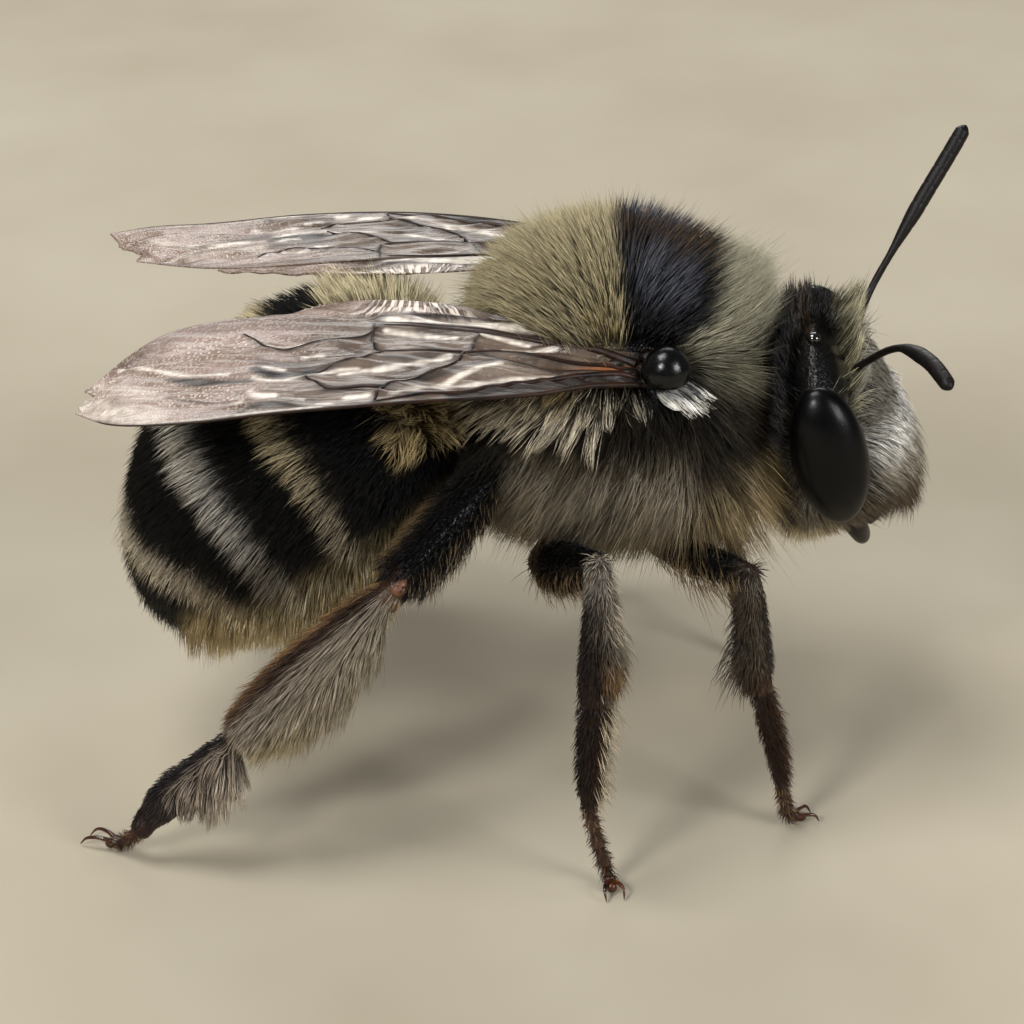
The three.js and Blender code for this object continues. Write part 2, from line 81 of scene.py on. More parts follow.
# [place, reach forward or up, reach back or down, half depth], out to the coat's tips and at the cuticle
LEG_COAT = {
    "fore": {"femur": [[0, .30, .36, .36], [.3, .30, .75, .40], [.6, .26, .80, .38], [.85, .22, .42, .32], [1, .16, .22, .25]],
             "tibia": [[0, .22, .27, .26], [.15, .28, .42, .32], [.4, .32, .68, .38], [.65, .36, .90, .40], [.82, .32, .80, .38], [1, .26, .42, .32]],
             "basitarsus": [[0, .32, .32, .30], [.3, .46, .31, .33], [.65, .42, .25, .30], [1, .25, .25, .26]]},
    "mid": {"femur": [[0, .55, .68, .62], [.3, .52, .72, .60], [.6, .42, .60, .46], [.85, .34, .42, .36], [1, .26, .28, .28]],
            "tibia": [[0, .25, .28, .30], [.15, .42, .34, .38], [.5, .73, .33, .46], [.8, .72, .38, .46], [.92, .56, .38, .42], [1, .36, .36, .36]],
            "basitarsus": [[0, .42, .30, .34], [.12, .50, .35, .36], [.35, .42, .42, .36], [.6, .40, .38, .34], [.85, .36, .30, .30], [1, .26, .28, .27]]},
    "hind": {"femur": [[0, .50, .55, .50], [.3, .66, .76, .55], [.55, .86, .82, .55], [.78, .78, .86, .52], [.92, .55, .62, .42], [1, .34, .36, .32]],
             "tibia": [[0, .26, .38, .34], [.07, .45, .47, .44], [.2, .95, .55, .60], [.4, 1.16, .62, .72], [.65, 1.10, .62, .72], [.82, .82, .54, .62], [.93, .50, .42, .48], [1, .32, .30, .36]],
             "basitarsus": [[0, .52, .26, .36], [.14, .85, .35, .42], [.3, .92, .45, .44], [.5, .60, .55, .40], [.72, .28, .50, .36], [.88, .24, .42, .32], [1, .24, .28, .28]]}}
LEG_SKIN = {
    "fore": {"femur": [[0, .25, .3, .28], [.4, .24, .3, .27], [.8, .2, .22, .2], [1, .15, .15, .16]],
             "tibia": [[0, .16, .16, .15], [.3, .2, .24, .2], [.8, .24, .28, .22], [1, .18, .2, .18]],
             "basitarsus": [[0, .15, .15, .13], [.3, .17, .17, .13], [.9, .15, .14, .12], [1, .1, .1, .1]]},
    "mid": {"femur": [[0, .32, .38, .36], [.3, .33, .4, .36], [.8, .24, .28, .24], [1, .17, .17, .17]],
            "tibia": [[0, .17, .17, .18], [.3, .28, .22, .24], [.8, .36, .28, .28], [1, .26, .26, .24]],
            "basitarsus": [[0, .17, .17, .15], [.3, .24, .24, .17], [.85, .2, .2, .15], [1, .12, .12, .12]]},
    "hind": {"femur": [[0, .33, .35, .33], [.4, .42, .42, .36], [.85, .32, .34, .3], [1, .22, .22, .24]],
             "tibia": [[0, .2, .22, .22], [.25, .34, .3, .28], [.7, .42, .36, .32], [.95, .34, .32, .3], [1, .22, .22, .22]],
             "basitarsus": [[0, .2, .15, .16], [.25, .36, .3, .2], [.75, .30, .42, .2], [1, .17, .22, .15]]}}

FEELERS = {"right": [[5.95, -1.15, 8.05], [6.20, -1.50, 8.54], [6.52, -2.05, 9.03], [6.75, -2.55, 9.30], [7.10, -3.35, 9.42], [7.38, -4.10, 9.30]],
           "left": [[6.15, 1.05, 8.00], [6.50, 1.45, 8.52], [6.92, 1.80, 9.20], [7.45, 2.25, 10.00], [7.90, 2.62, 10.65], [8.26, 2.90, 11.20]]}
MOUTH = {"labrum": ([[6.50, 0, 5.25], [6.60, 0, 4.95], [6.54, 0, 4.60]], .30, .04, 1.7),
         "mandible_right": ([[5.96, -1.12, 5.72], [6.24, -1.00, 5.12], [6.38, -.70, 4.72], [6.42, -.35, 4.44]], .30, .10, 1),
         "mandible_left": ([[5.96, 1.12, 5.72], [6.24, 1.00, 5.12], [6.38, .70, 4.72], [6.42, .35, 4.44]], .30, .10, 1)}

WING_FORE = [[2.25, 2.62, 8.62], [1.4, 3.05, 8.84], [.35, 3.56, 8.92], [-1.8, 3.98, 8.98], [-4.0, 4.15, 8.86], [-5.6, 4.18, 8.68], [-6.8, 3.98, 8.56], [-7.45, 3.45, 8.50]]
WING_FOLD = [[2.2, 2.1, 9.00], [1.1, 2.0, 9.06], [.2, 1.75, 9.12], [-1.2, 1.50, 9.20], [-2.6, 1.30, 9.24], [-4.2, 1.08, 9.22], [-6.0, 1.35, 9.02], [-7.38, 2.80, 8.60]]
WING_INNER = [[.9, 1.6, 9.02], [.2, 1.2, 9.15], [-.6, .85, 9.24], [-1.4, .65, 9.28], [-2.2, .58, 9.30], [-3.0, .62, 9.28], [-3.8, .85, 9.22], [-4.5, 1.02, 9.16]]
# veins as [place along the wing, place across it from the leading edge], with their radius
FORE_VEINS = {
    "costa": ([(0, .03), (.1, .0), (.2, 0), (.3, 0), (.4, 0), (.52, 0), (.65, 0), (.80, 0), (.90, 0)], .055, .012),
    "radius": ([(.01, .16), (.05, .20), (.225, .20), (.297, .18), (.345, .14), (.385, .10), (.435, .07), (.465, .03)], .060, .030),
    "fold": ([(.01, .50), (.03, .62), (.065, .80), (.128, .95), (.203, .98), (.29, .985), (.405, .985), (.473, .98), (.537, .96)], .095, .022),
    "media": ([(.01, .36), (.045, .41), (.092, .54), (.16, .59), (.255, .65), (.323, .69), (.38, .68)], .046, .030),
    "media_low": ([(.01, .30), (.048, .33), (.125, .33), (.217, .38), (.295, .53), (.36, .65)], .026, .010),
    "cell_low": ([(.38, .68), (.435, .68), (.497, .67), (.525, .77), (.54, .91), (.547, .97)], .028, .022),
    "basal": ([(.38, .68), (.39, .50), (.415, .38), (.443, .26), (.463, .21), (.465, .04)], .034, .026),
    "cubitus": ([(.497, .67), (.522, .55), (.545, .50), (.57, .39)], .028, .020),
    "radial": ([(.463, .21), (.492, .24), (.525, .24), (.56, .32), (.575, .37)], .036, .028),
    "cross": ([(.36, .98), (.367, .90), (.372, .71)], .014, .014),
    "recurrent": ([(.735, .83), (.698, .74), (.65, .67), (.613, .74), (.552, .81), (.535, .95)], .024, .018),
    "outer": ([(.662, .0), (.633, .02), (.615, .09), (.578, .08), (.527, .01)], .014, .010)}
HIND_VEINS = {
    "front": ([(.14, .1), (.3, .12), (.45, .08), (.56, .06)], .024, .014),
    "middle": ([(.20, .62), (.263, .61), (.36, .55), (.465, .43), (.55, .30)], .016, .008)}
# painted highlights on the creased membrane (one of them along a pale vein), dark marks that are partly the wing's own
# smoke and partly painted shade, and the amber root: [place along, place across] paths with half width and strength
FORE_PAINTED_HIGHLIGHTS = [([(.520, .91), (.458, .90), (.400, .88)], .050, .85), ([(.360, .95), (.275, .91)], .035, .80), ([(.323, .79), (.273, .80), (.205, .88)], .060, .95),
              ([(.532, .40), (.490, .46), (.445, .52), (.400, .62)], .055, .80), ([(.398, .25), (.370, .38), (.328, .51)], .055, .95),
              ([(.448, .13), (.388, .22), (.323, .27), (.200, .26)], .060, .60), ([(.500, .12), (.478, .12)], .070, .85),
              ([(.656, .50), (.640, .48), (.622, .47)], .040, 1), ([(.610, .62), (.590, .65)], .060, 1),
              ([(.660, .41), (.615, .36), (.578, .39), (.550, .43), (.515, .46)], .035, .85),
              ([(.930, .86), (.870, .66), (.802, .52), (.750, .47), (.705, .45)], .034, 1),
              ([(.647, .28), (.620, .23), (.603, .23)], .060, .95), ([(.662, .17), (.652, .21)], .060, .90), ([(.527, .07), (.515, .06)], .060, .90),
              ([(.580, .18), (.552, .14)], .030, .70), ([(.738, .84), (.665, .71), (.625, .73)], .020, .70),
              ([(.80, .015), (.70, .02), (.60, .02), (.52, .02)], .030, .60), ([(.97, .80), (.965, .62)], .12, .55),
              ([(.985, .35), (.93, .18), (.86, .10), (.78, .08)], .26, .50), ([(.93, .50), (.86, .36), (.80, .30)], .16, .28)]
# dark marks: partly the membrane's own smoke, partly painted shade
FORE_DUSK = [([(.667, .48), (.630, .43), (.598, .43), (.578, .45)], .115, 1), ([(.675, .57), (.640, .53), (.603, .53)], .14, .60),
             ([(.487, .60), (.450, .59), (.432, .62)], .09, .60), ([(.432, .27), (.400, .37), (.367, .51), (.323, .58)], .065, .75),
             ([(.800, .46), (.760, .41), (.718, .385), (.660, .37)], .085, .90), ([(.782, .27), (.720, .21), (.672, .22)], .035, .60),
             ([(.560, .32), (.525, .22), (.490, .20)], .050, .80), ([(.545, .15), (.522, .05)], .070, .40),
             ([(.03, .60), (.065, .80), (.128, .96), (.203, .99), (.290, .99)], .060, .90), ([(.94, .95), (.85, .95), (.74, .95), (.62, .97)], .22, .30),
             ([(.02, .10), (.10, .10), (.20, .10), (.30, .09), (.38, .05)], .17, .92)]
HIND_PAINTED_HIGHLIGHTS = [([(.535, .11), (.448, .24), (.338, .29), (.22, .45), (.13, .60)], .095, .90)]
HIND_DUSK = [([(.465, .43), (.360, .55), (.263, .61)], .03, .60), ([(.58, .02), (.547, .02)], .06, .80)]


# ---- shape functions -----------------------------------------------------------
def unit(v):
    return v / np.maximum(np.linalg.norm(v, axis=-1, keepdims=True), 1e-9)


def smooth(a, b, x):
    t = np.clip((x - a) / (b - a), 0, 1)
    return t * t * (3 - 2 * t)


def lerp(a, b, f):
    return a + (b - a) * f


def ripple(p, size, seed, n=7):
    """A smooth wavy number from about -1 to 1 over space, with features of that size."""
    g = np.random.default_rng(seed)
    k = unit(g.normal(size=(n, 3))) * (2 * np.pi / size) * g.uniform(.7, 1.5, (n, 1))
    return np.sin(p @ k.T + g.uniform(0, 2 * np.pi, n)).mean(1) * 1.8


def along(keys, t):
    """Smooth rows at places t (0..1) through rows of keys."""
    k = np.asarray(keys, float)
    last = len(k) - 1
    k = np.vstack([2 * k[0] - k[1], k, 2 * k[-1] - k[-2]])
    t = np.clip(np.asarray(t, float), 0, 1) * last
    i = np.minimum(t.astype(int), last - 1)
    f = (t - i)[:, None]
    p0, p1, p2, p3 = k[i], k[i + 1], k[i + 2], k[i + 3]
    return .5 * (2 * p1 + (p2 - p0) * f + (2 * p0 - 5 * p1 + 4 * p2 - p3) * f * f + (3 * p1 - p0 - 3 * p2 + p3) * f ** 3)


def curve(keys, t):
    """Places t (0..1) on an evenly bending curve through points."""
    k = np.asarray(keys, float)
    last = len(k) - 1
    k = np.vstack([2 * k[0] - k[1], k, 2 * k[-1] - k[-2]])
    t = np.clip(np.asarray(t, float), 0, 1) * last
    i = np.minimum(t.astype(int), last - 1)
    w = (t - i)[:, None]
    p0, p1, p2, p3 = k[i], k[i + 1], k[i + 2], k[i + 3]
    d0, d1, d2 = (np.maximum(np.linalg.norm(b - a, axis=1, keepdims=True) ** .5, 1e-4) for a, b in ((p0, p1), (p1, p2), (p2, p3)))
    t1 = ((p1 - p0) / d0 - (p2 - p0) / (d0 + d1) + (p2 - p1) / d1) * d1
    t2 = ((p2 - p1) / d1 - (p3 - p1) / (d1 + d2) + (p3 - p2) / d2) * d1
    return p1 + t1 * w + (-3 * p1 + 3 * p2 - 2 * t1 - t2) * w ** 2 + (2 * p1 - 2 * p2 + t1 + t2) * w ** 3


def turn_head(p):
    c, s = math.cos(HEAD_TURN), math.sin(HEAD_TURN)
    q = np.asarray(p, float) - NECK
    return np.stack([q[..., 0] * c - q[..., 1] * s, q[..., 0] * s + q[..., 1] * c, q[..., 2]], -1) + NECK


class Surface:
    def frame(self, u, v):
        """Points and outward normals at places round (u) and along (v)."""
        e = 2e-3
        p = self.at(u, v)
        du = self.at(u + e, v) - self.at(u - e, v)
        dv = self.at(u, np.minimum(v + e, 1)) - self.at(u, np.maximum(v - e, 0))
        n = unit(np.cross(du, dv))
        n *= np.sign(((p - self.middle(v)) * n).sum(1, keepdims=True) + 1e-12)
        return p, n, unit(dv)

    def middle(self, v):
        return (self.at(np.zeros_like(v), v) + self.at(np.full_like(v, .5), v)) / 2

    def grid(self, nu, nv, v0=0., v1=1.):
        """Points and faces of a closed tube with its ends filled."""
        v, u = np.linspace(v0, v1, nv + 1), np.arange(nu) / nu
        uu, vv = np.meshgrid(u, v)
        p = self.at(uu.ravel(), vv.ravel())
        faces = [(r * nu + k, r * nu + (k + 1) % nu, (r + 1) * nu + (k + 1) % nu, (r + 1) * nu + k) for r in range(nv) for k in range(nu)]
        p = np.vstack([p, p[:nu].mean(0), p[-nu:].mean(0)])
        a, b, top = len(p) - 2, len(p) - 1, nv * nu
        faces += [(a, (k + 1) % nu, k) for k in range(nu)] + [(b, top + k, top + (k + 1) % nu) for k in range(nu)]
        return p, faces


class Trunk(Surface):
    def __init__(self, keys, place=None):
        self.keys, self.place = np.array(keys, float), place

    def at(self, u, v):
        r, a = along(self.keys, v), 2 * np.pi * np.asarray(u)
        c, s, tilt = np.cos(a), np.sin(a), np.radians(r[:, 5])
        h = s * np.where(s > 0, r[:, 3], r[:, 4])
        p = np.stack([r[:, 0] - np.sin(tilt) * h, c * r[:, 2], r[:, 1] + np.cos(tilt) * h], 1)
        return self.place(p) if self.place else p


class Limb(Surface):
    def __init__(self, a, b, stations, side):
        self.a, self.b, self.k = np.array(a, float), np.array(b, float), np.array(stations, float)
        self.dir = unit(self.b - self.a)
        seen = np.array([0, .883 * (-1 if side > 0 else 1), -.469])
        self.face = unit(np.cross(self.dir, seen)) * (-1 if side > 0 else 1)
        self.depth = unit(np.cross(self.dir, self.face))

    def at(self, u, v):
        v = np.asarray(v, float)
        k = self.k
        i = np.clip(np.searchsorted(k[:, 0], v, side="right") - 1, 0, len(k) - 2)
        f = smooth(0, 1, (v - k[i, 0]) / (k[i + 1, 0] - k[i, 0]))[:, None]
        fore, hind, deep = (k[i, 1:] * (1 - f) + k[i + 1, 1:] * f).T
        c, s = np.cos(2 * np.pi * np.asarray(u)), np.sin(2 * np.pi * np.asarray(u))
        return (self.a + (self.b - self.a) * v[:, None] + self.face * (c * np.where(c > 0, fore, hind))[:, None]
                + self.depth * (s * deep)[:, None])


class Rod(Surface):
    def __init__(self, keys, radius, flat=1.0, place=None, count=60):
        self.keys, self.radius, self.flat, self.place = np.array(keys, float), radius, flat, place
        t = np.linspace(0, 1, count + 1)
        self.line = curve(self.keys, t)
        d = unit(np.gradient(self.line, axis=0))
        n = np.cross(d[0], [0.2, 1, .1])
        n = [n / np.linalg.norm(n)]
        for i in range(1, count + 1):
            w = n[-1] - d[i] * (n[-1] @ d[i])
            n.append(w / np.linalg.norm(w))
        self.n, self.d, self.t = np.array(n), d, t
        self.bi = np.cross(self.d, self.n)

    def _row(self, rows, v):
        x = np.clip(np.asarray(v, float), 0, 1) * (len(rows) - 1)
        i = np.minimum(x.astype(int), len(rows) - 2)
        f = (x - i)[:, None]
        return rows[i] * (1 - f) + rows[i + 1] * f

    def at(self, u, v):
        c, n, b = (self._row(rows, v) for rows in (self.line, self.n, self.bi))
        a = 2 * np.pi * np.asarray(u)
        r = self.radius(np.asarray(v, float))
        p = c + n * (np.cos(a) * r)[:, None] + b * (np.sin(a) * r)[:, None]
        p = p * np.array([1, self.flat, 1])
        return self.place(p) if self.place else p


class Ball(Surface):
    """An ellipsoid, v from one pole to the other."""
    def __init__(self, at, radii, lean=0, side=1, place=None):
        self.c, self.r = np.array([at[0], side * at[1], at[2]], float), np.array(radii, float)
        self.lean, self.place = -math.radians(lean), place

    def at(self, u, v):
        a, b = 2 * np.pi * np.asarray(u), np.pi * np.clip(np.asarray(v, float), .003, .997)
        q = np.stack([np.sin(b) * np.cos(a), np.sin(b) * np.sin(a), np.cos(b)], 1) * self.r
        c, s = math.cos(self.lean), math.sin(self.lean)
        p = np.stack([q[:, 0] * c + q[:, 2] * s, q[:, 1], -q[:, 0] * s + q[:, 2] * c], 1) + self.c
        return self.place(p) if self.place else p

    def inside(self, p):
        """How far out a point is, 1 on the surface, for a point before the head's turn."""
        q = p - self.c
        c, s = math.cos(-self.lean), math.sin(-self.lean)
        q = np.stack([q[:, 0] * c + q[:, 2] * s, q[:, 1], -q[:, 0] * s + q[:, 2] * c], 1)
        return np.linalg.norm(q / self.r, axis=1)


# ---- mesh functions ------------------------------------------------------------
def make(name, points, faces, material, slot, replaces=(), flat=False):
    """A mesh object in metres from points in millimetres, riding on the bee."""
    mesh = bpy.data.meshes.new(name)
    mesh.from_pydata([tuple(p) for p in np.asarray(points) * MM], [], [tuple(f) for f in faces])
    mesh.validate()
    mesh.materials.append(material)
    if not flat:
        mesh.shade_smooth()
    piece = bpy.data.objects.new(name, mesh)
    bpy.context.scene.collection.objects.link(piece)
    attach(piece, "root")
    if replaces:
        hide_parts(*replaces)
    return piece


def join(parts):
    points, faces, base = [], [], 0
    for p, f in parts:
        points.append(p)
        faces += [tuple(i + base for i in face) for face in f]
        base += len(p)
    return np.vstack(points), faces


def outward(points, faces):
    """The same faces, turned so that a closed shape's face out."""
    p = np.asarray(points)
    volume = 0
    for f in faces:
        for i in range(1, len(f) - 1):
            volume += p[f[0]] @ np.cross(p[f[i]], p[f[i + 1]])
    return faces if volume > 0 else [tuple(reversed(f)) for f in faces]


def solid(surface, nu, nv, v0=0., v1=1.):
    p, f = surface.grid(nu, nv, v0, v1)
    return p, outward(p, f)


def srgb(*rgb):
    c = np.array(rgb, float) / 255
    return np.where(c <= .04045, c / 12.92, ((c + .055) / 1.055) ** 2.4)


# ---- materials -----------------------------------------------------------------
class Paint:
    """A node material made piece by piece."""
    def __init__(self, name, **sockets):
        self.m = bpy.data.materials.new(name)
        self.m.use_nodes = True
        self.t = self.m.node_tree
        self.t.nodes.clear()
        out, self.b = self.node("ShaderNodeOutputMaterial"), self.node("ShaderNodeBsdfPrincipled")
        self.link(self.b.outputs[0], out.inputs[0])
        for k, v in sockets.items():
            self.b.inputs[k.replace("_", " ")].default_value = v
        place, scale = self.node("ShaderNodeTexCoord"), self.node("ShaderNodeMapping")
        self.link(place.outputs["Object"], scale.inputs[0])
        scale.inputs["Scale"].default_value = (1000, 1000, 1000)
        self.mm = scale.outputs[0]

    def node(self, kind, **kw):
        n = self.t.nodes.new(kind)
        for k, v in kw.items():
            setattr(n, k, v)
        return n

    def link(self, a, b):
        self.t.links.new(a, b)

    def noise(self, scale, detail=2.0, rough=.5, vector=None):
        n = self.node("ShaderNodeTexNoise")
        n.inputs["Scale"].default_value, n.inputs["Detail"].default_value, n.inputs["Roughness"].default_value = scale, detail, rough
        self.link(vector or self.mm, n.inputs["Vector"])
        return n.outputs["Fac"]

    def cells(self, scale, feature="F1", vector=None):
        n = self.node("ShaderNodeTexVoronoi", feature=feature)
        n.inputs["Scale"].default_value = scale
        self.link(vector or self.mm, n.inputs["Vector"])
        return n.outputs["Distance"]

    def spread(self, value, low, high, to_low, to_high, kind="LINEAR"):
        n = self.node("ShaderNodeMapRange", interpolation_type=kind)
        self.link(value, n.inputs["Value"])
        for k, v in (("From Min", low), ("From Max", high), ("To Min", to_low), ("To Max", to_high)):
            n.inputs[k].default_value = v
        return n.outputs["Result"]

    def maths(self, op, a, b):
        n = self.node("ShaderNodeMath", operation=op)
        for i, x in enumerate((a, b)):
            if isinstance(x, (int, float)):
                n.inputs[i].default_value = x
            else:
                self.link(x, n.inputs[i])
        return n.outputs[0]

    def attribute(self, name, output="Fac"):
        return self.node("ShaderNodeAttribute", attribute_name=name).outputs[output]

    def mix(self, fac, a, b, mode="MIX"):
        n = self.node("ShaderNodeMix", data_type="RGBA", blend_type=mode)
        for i, x in ((0, fac), (6, a), (7, b)):
            if isinstance(x, (int, float)):
                n.inputs[i].default_value = x
            elif isinstance(x, (tuple, list, np.ndarray)):
                n.inputs[i].default_value = (*[float(c) for c in x[:3]], 1)
            else:
                self.link(x, n.inputs[i])
        return n.outputs[2]

    def scaled(self, colour, factor):
        n = self.node("ShaderNodeVectorMath", operation="SCALE")
        self.link(colour, n.inputs[0])
        self.link(factor, n.inputs["Scale"])
        return n.outputs[0]

    def colour(self, value):
        self.link(value, self.b.inputs["Base Color"])

    def rough(self, value):
        self.link(value, self.b.inputs["Roughness"])

    def bump(self, height, strength, depth_mm):
        n = self.node("ShaderNodeBump")
        n.inputs["Strength"].default_value, n.inputs["Distance"].default_value = strength, depth_mm * MM
        self.link(height, n.inputs["Height"])
        self.link(n.outputs[0], self.b.inputs["Normal"])


def coat_paint(name, roughness, specular, roots, tips):
    m = Paint(name, Roughness=roughness, Specular_IOR_Level=specular)
    # hair is darker at the root and lighter at the tip: the dark roots are painted shade deep in the coat
    painted_root_shade = m.spread(m.attribute("along"), 0, 1, roots, tips)
    luck = m.spread(m.attribute("luck"), 0, 1, .62, 1.36)
    lock = m.spread(m.noise(5.0, 3.0), .3, .7, .80, 1.18)
    m.colour(m.scaled(m.attribute("tint", "Color"), m.maths("MULTIPLY", m.maths("MULTIPLY", painted_root_shade, luck), lock)))
    return m.m


def skin_paint():
    m = Paint("cuticle", Specular_IOR_Level=.20)
    patches = m.spread(m.noise(3.0, 3.0), .3, .7, .7, 1.25)
    m.colour(m.scaled(m.attribute("tint", "Color"), patches))
    m.rough(m.spread(m.noise(14.0, 2.0), .3, .7, .24, .40))
    m.bump(m.cells(20.0), .55, .02)
    return m.m


def shell_paint(name, dark, light, scale, low, high, roughness=(.12, .28), bump=.2, **sockets):
    m = Paint(name, **sockets)
    m.colour(m.mix(m.spread(m.noise(scale, 4.0), low, high, 0, 1), dark, light))
    m.rough(m.spread(m.noise(scale * 3, 2.0), .3, .7, *roughness))
    m.bump(m.noise(30.0, 2.0), bump, .01)
    return m.m


def eye_paint():
    m = Paint("compound_eye", Specular_IOR_Level=.13, Coat_Weight=.12, Coat_Roughness=.20)
    low = m.node("ShaderNodeSeparateXYZ")
    m.link(m.mm, low.inputs[0])
    # the lower part of the eye turns olive-brown: a painted reflection of the ground below, fading up to black
    painted_ground_reflection = m.spread(m.maths("ADD", low.outputs[2], m.spread(m.noise(1.6, 2.0), .3, .7, -.35, .35)), 5.5, 6.7, 1, 0, "SMOOTHSTEP")
    m.colour(m.mix(painted_ground_reflection, srgb(2, 2, 3), srgb(24, 21, 15)))
    m.rough(m.spread(m.noise(4.0, 2.0), .3, .7, .28, .38))
    m.bump(m.cells(30.0), .25, .006)
    return m.m


def membrane_paint():
    """Smoky and creased, with highlights painted in streaks between the veins, stippled and pinkish towards the tip."""
    m = Paint("wing_membrane", Specular_IOR_Level=.45, Alpha=.88, Coat_Weight=.22, Coat_Roughness=.16)
    sheet = m.attribute("sheet", "Vector")
    stretch = m.node("ShaderNodeMapping")
    m.link(sheet, stretch.inputs[0])
    stretch.inputs["Scale"].default_value = (.42, 4.2, 1)
    streak = m.noise(1.0, 3.5, .6, stretch.outputs[0])
    fine = m.node("ShaderNodeMapping")
    m.link(sheet, fine.inputs[0])
    fine.inputs["Scale"].default_value = (1.8, 12, 1)
    crease = m.noise(1.0, 2.0, .5, fine.outputs[0])
    slant = m.node("ShaderNodeMapping")
    m.link(sheet, slant.inputs[0])
    slant.inputs["Scale"].default_value = (7.5, 1.6, 1)
    slant.inputs["Rotation"].default_value = (0, 0, .35)
    ribs = m.maths("MULTIPLY", m.spread(m.noise(1.0, 1.0, .5, slant.outputs[0]), .42, .58, 0, 1, "SMOOTHSTEP"), m.attribute("ribs"))
    stipple = m.cells(17.0, vector=sheet)
    tone = m.mix(m.spread(m.noise(1.1, 2.0, .5, sheet), .32, .68, 0, 1, "SMOOTHSTEP"), srgb(66, 52, 42), srgb(112, 96, 83))
    # pale streaks along the creases are painted highlights
    painted_glint = m.maths("MULTIPLY", m.spread(streak, .56, .68, 0, 1), m.spread(crease, .46, .60, 0, 1))
    tone = m.mix(m.maths("MULTIPLY", painted_glint, .22), tone, srgb(208, 194, 176))
    far = m.mix(m.spread(m.noise(1.3, 2.5, .5, sheet), .34, .66, 0, 1, "SMOOTHSTEP"), srgb(116, 95, 80), srgb(150, 128, 118))
    tone = m.mix(m.attribute("distal"), tone, far)
    dots = m.maths("MULTIPLY", m.spread(stipple, .20, .52, 1, 0), m.spread(m.attribute("distal"), 0, 1, .06, 1))
    dots = m.maths("MULTIPLY", dots, m.spread(m.noise(.9, 2.0, .5, sheet), .36, .62, .25, 1))
    tone = m.mix(m.maths("MULTIPLY", dots, .85), tone, srgb(238, 218, 202))
    tone = m.mix(m.maths("MULTIPLY", ribs, .85), tone, srgb(238, 222, 208))
    # darkening by the veins and the dark marks; the marks are partly the wing's own smoke and partly painted shade
    tone = m.mix(m.attribute("dark"), tone, srgb(20, 12, 8))
    # the listed light streaks are painted highlights as well
    tone = m.mix(m.maths("MULTIPLY", m.attribute("painted_glint"), m.spread(crease, .36, .60, .50, 1)), tone, srgb(244, 233, 218))
    m.colour(m.mix(m.attribute("base"), tone, srgb(128, 74, 34)))
    m.rough(m.maths("ADD", m.spread(crease, .3, .7, .20, .34), m.maths("MULTIPLY", m.attribute("dark"), .26)))
    height = m.maths("ADD", m.maths("MULTIPLY", dots, .6), m.spread(streak, .3, .7, 0, .35))
    height = m.maths("ADD", height, m.maths("MULTIPLY", ribs, 1.5))
    m.bump(m.maths("ADD", height, m.spread(crease, .3, .7, 0, .25)), .7, .06)
    return m.m


MATERIALS = {
    "skin": skin_paint(),
    "eye": eye_paint(),
    "tegula": shell_paint("wing_scale", srgb(4, 4, 5), srgb(9, 9, 10), 4, .4, .7, (.16, .28), .25, Specular_IOR_Level=.32),
    "ocellus": shell_paint("ocellus", srgb(5, 4, 4), srgb(12, 9, 7), 6, .4, .7, (.05, .10), .02, Specular_IOR_Level=.8, Coat_Weight=.8),
    "jaw": shell_paint("jaw", srgb(10, 6, 4), srgb(32, 19, 12), 5, .35, .7, (.28, .44), .3, Specular_IOR_Level=.26),
    "knee": shell_paint("knee", srgb(42, 25, 17), srgb(108, 71, 50), 5, .35, .7, (.34, .48), .5, Specular_IOR_Level=.35),
    "feeler": shell_paint("feeler", srgb(7, 6, 5), srgb(21, 16, 13), 9, .35, .7, (.38, .54), .4, Specular_IOR_Level=.22),
    "foot": shell_paint("foot", srgb(34, 18, 11), srgb(84, 50, 30), 5, .3, .7, (.28, .42), .3, Specular_IOR_Level=.5),
    "claw": shell_paint("claw", srgb(22, 12, 8), srgb(92, 46, 22), 4, .35, .7, (.15, .3), .2, Specular_IOR_Level=.6),
    "vein": shell_paint("vein", srgb(16, 9, 6), srgb(52, 29, 17), 4, .35, .7, (.34, .5), .3, Specular_IOR_Level=.22),
    "membrane": membrane_paint(),
    "coat": coat_paint("coat_soft", .5, .22, .26, 1.26),
    "coat_black": coat_paint("coat_black", .38, .26, .5, 1.2),
    "coat_bright": coat_paint("coat_bright", .5, .25, .42, 1.45),
    "coat_face": coat_paint("coat_face", .42, .34, .42, 1.34),
    "scopa": coat_paint("scopa", .42, .34, .32, 1.16),
    "coat_leg": coat_paint("coat_leg", .44, .28, .26, 1.3),
}

# ---- skin surfaces and the coat's outer surface --------------------------------
thorax, abdomen, head = Trunk(THORAX_SKIN), Trunk(ABDOMEN_SKIN), Trunk(HEAD_SKIN, turn_head)
head_straight = Trunk(HEAD_SKIN)
outer = join([s.grid(72, 60) for s in (Trunk(THORAX), Trunk(ABDOMEN), Trunk(HEAD, turn_head))])
OUTER = {name: BVHTree.FromPolygons([Vector(p) for p in m[0]], m[1]) for name, m in
         {"thorax": Trunk(THORAX).grid(72, 60), "abdomen": Trunk(ABDOMEN).grid(72, 60), "head": Trunk(HEAD, turn_head).grid(72, 60)}.items()}


def reach(name, p, n, most=1.6):
    """How far the coat's outer surface is from each place, outwards."""
    tree, out = OUTER[name], np.empty(len(p))
    for i in range(len(p)):
        hit = tree.ray_cast(Vector(p[i]), Vector(n[i]), most)
        out[i] = hit[3] if hit[0] is not None else most
    return out


limbs = {}
for side_name, side in SIDES.items():
    for leg in ("fore", "mid", "hind"):
        hip, knee, ankle, heel, toe, claw = LEGS[side_name][leg]
        for part, a, b in (("femur", hip, knee), ("tibia", knee, ankle), ("basitarsus", ankle, heel)):
            limbs[side_name, leg, part] = (Limb(a, b, LEG_SKIN[leg][part], side), Limb(a, b, LEG_COAT[leg][part], side))

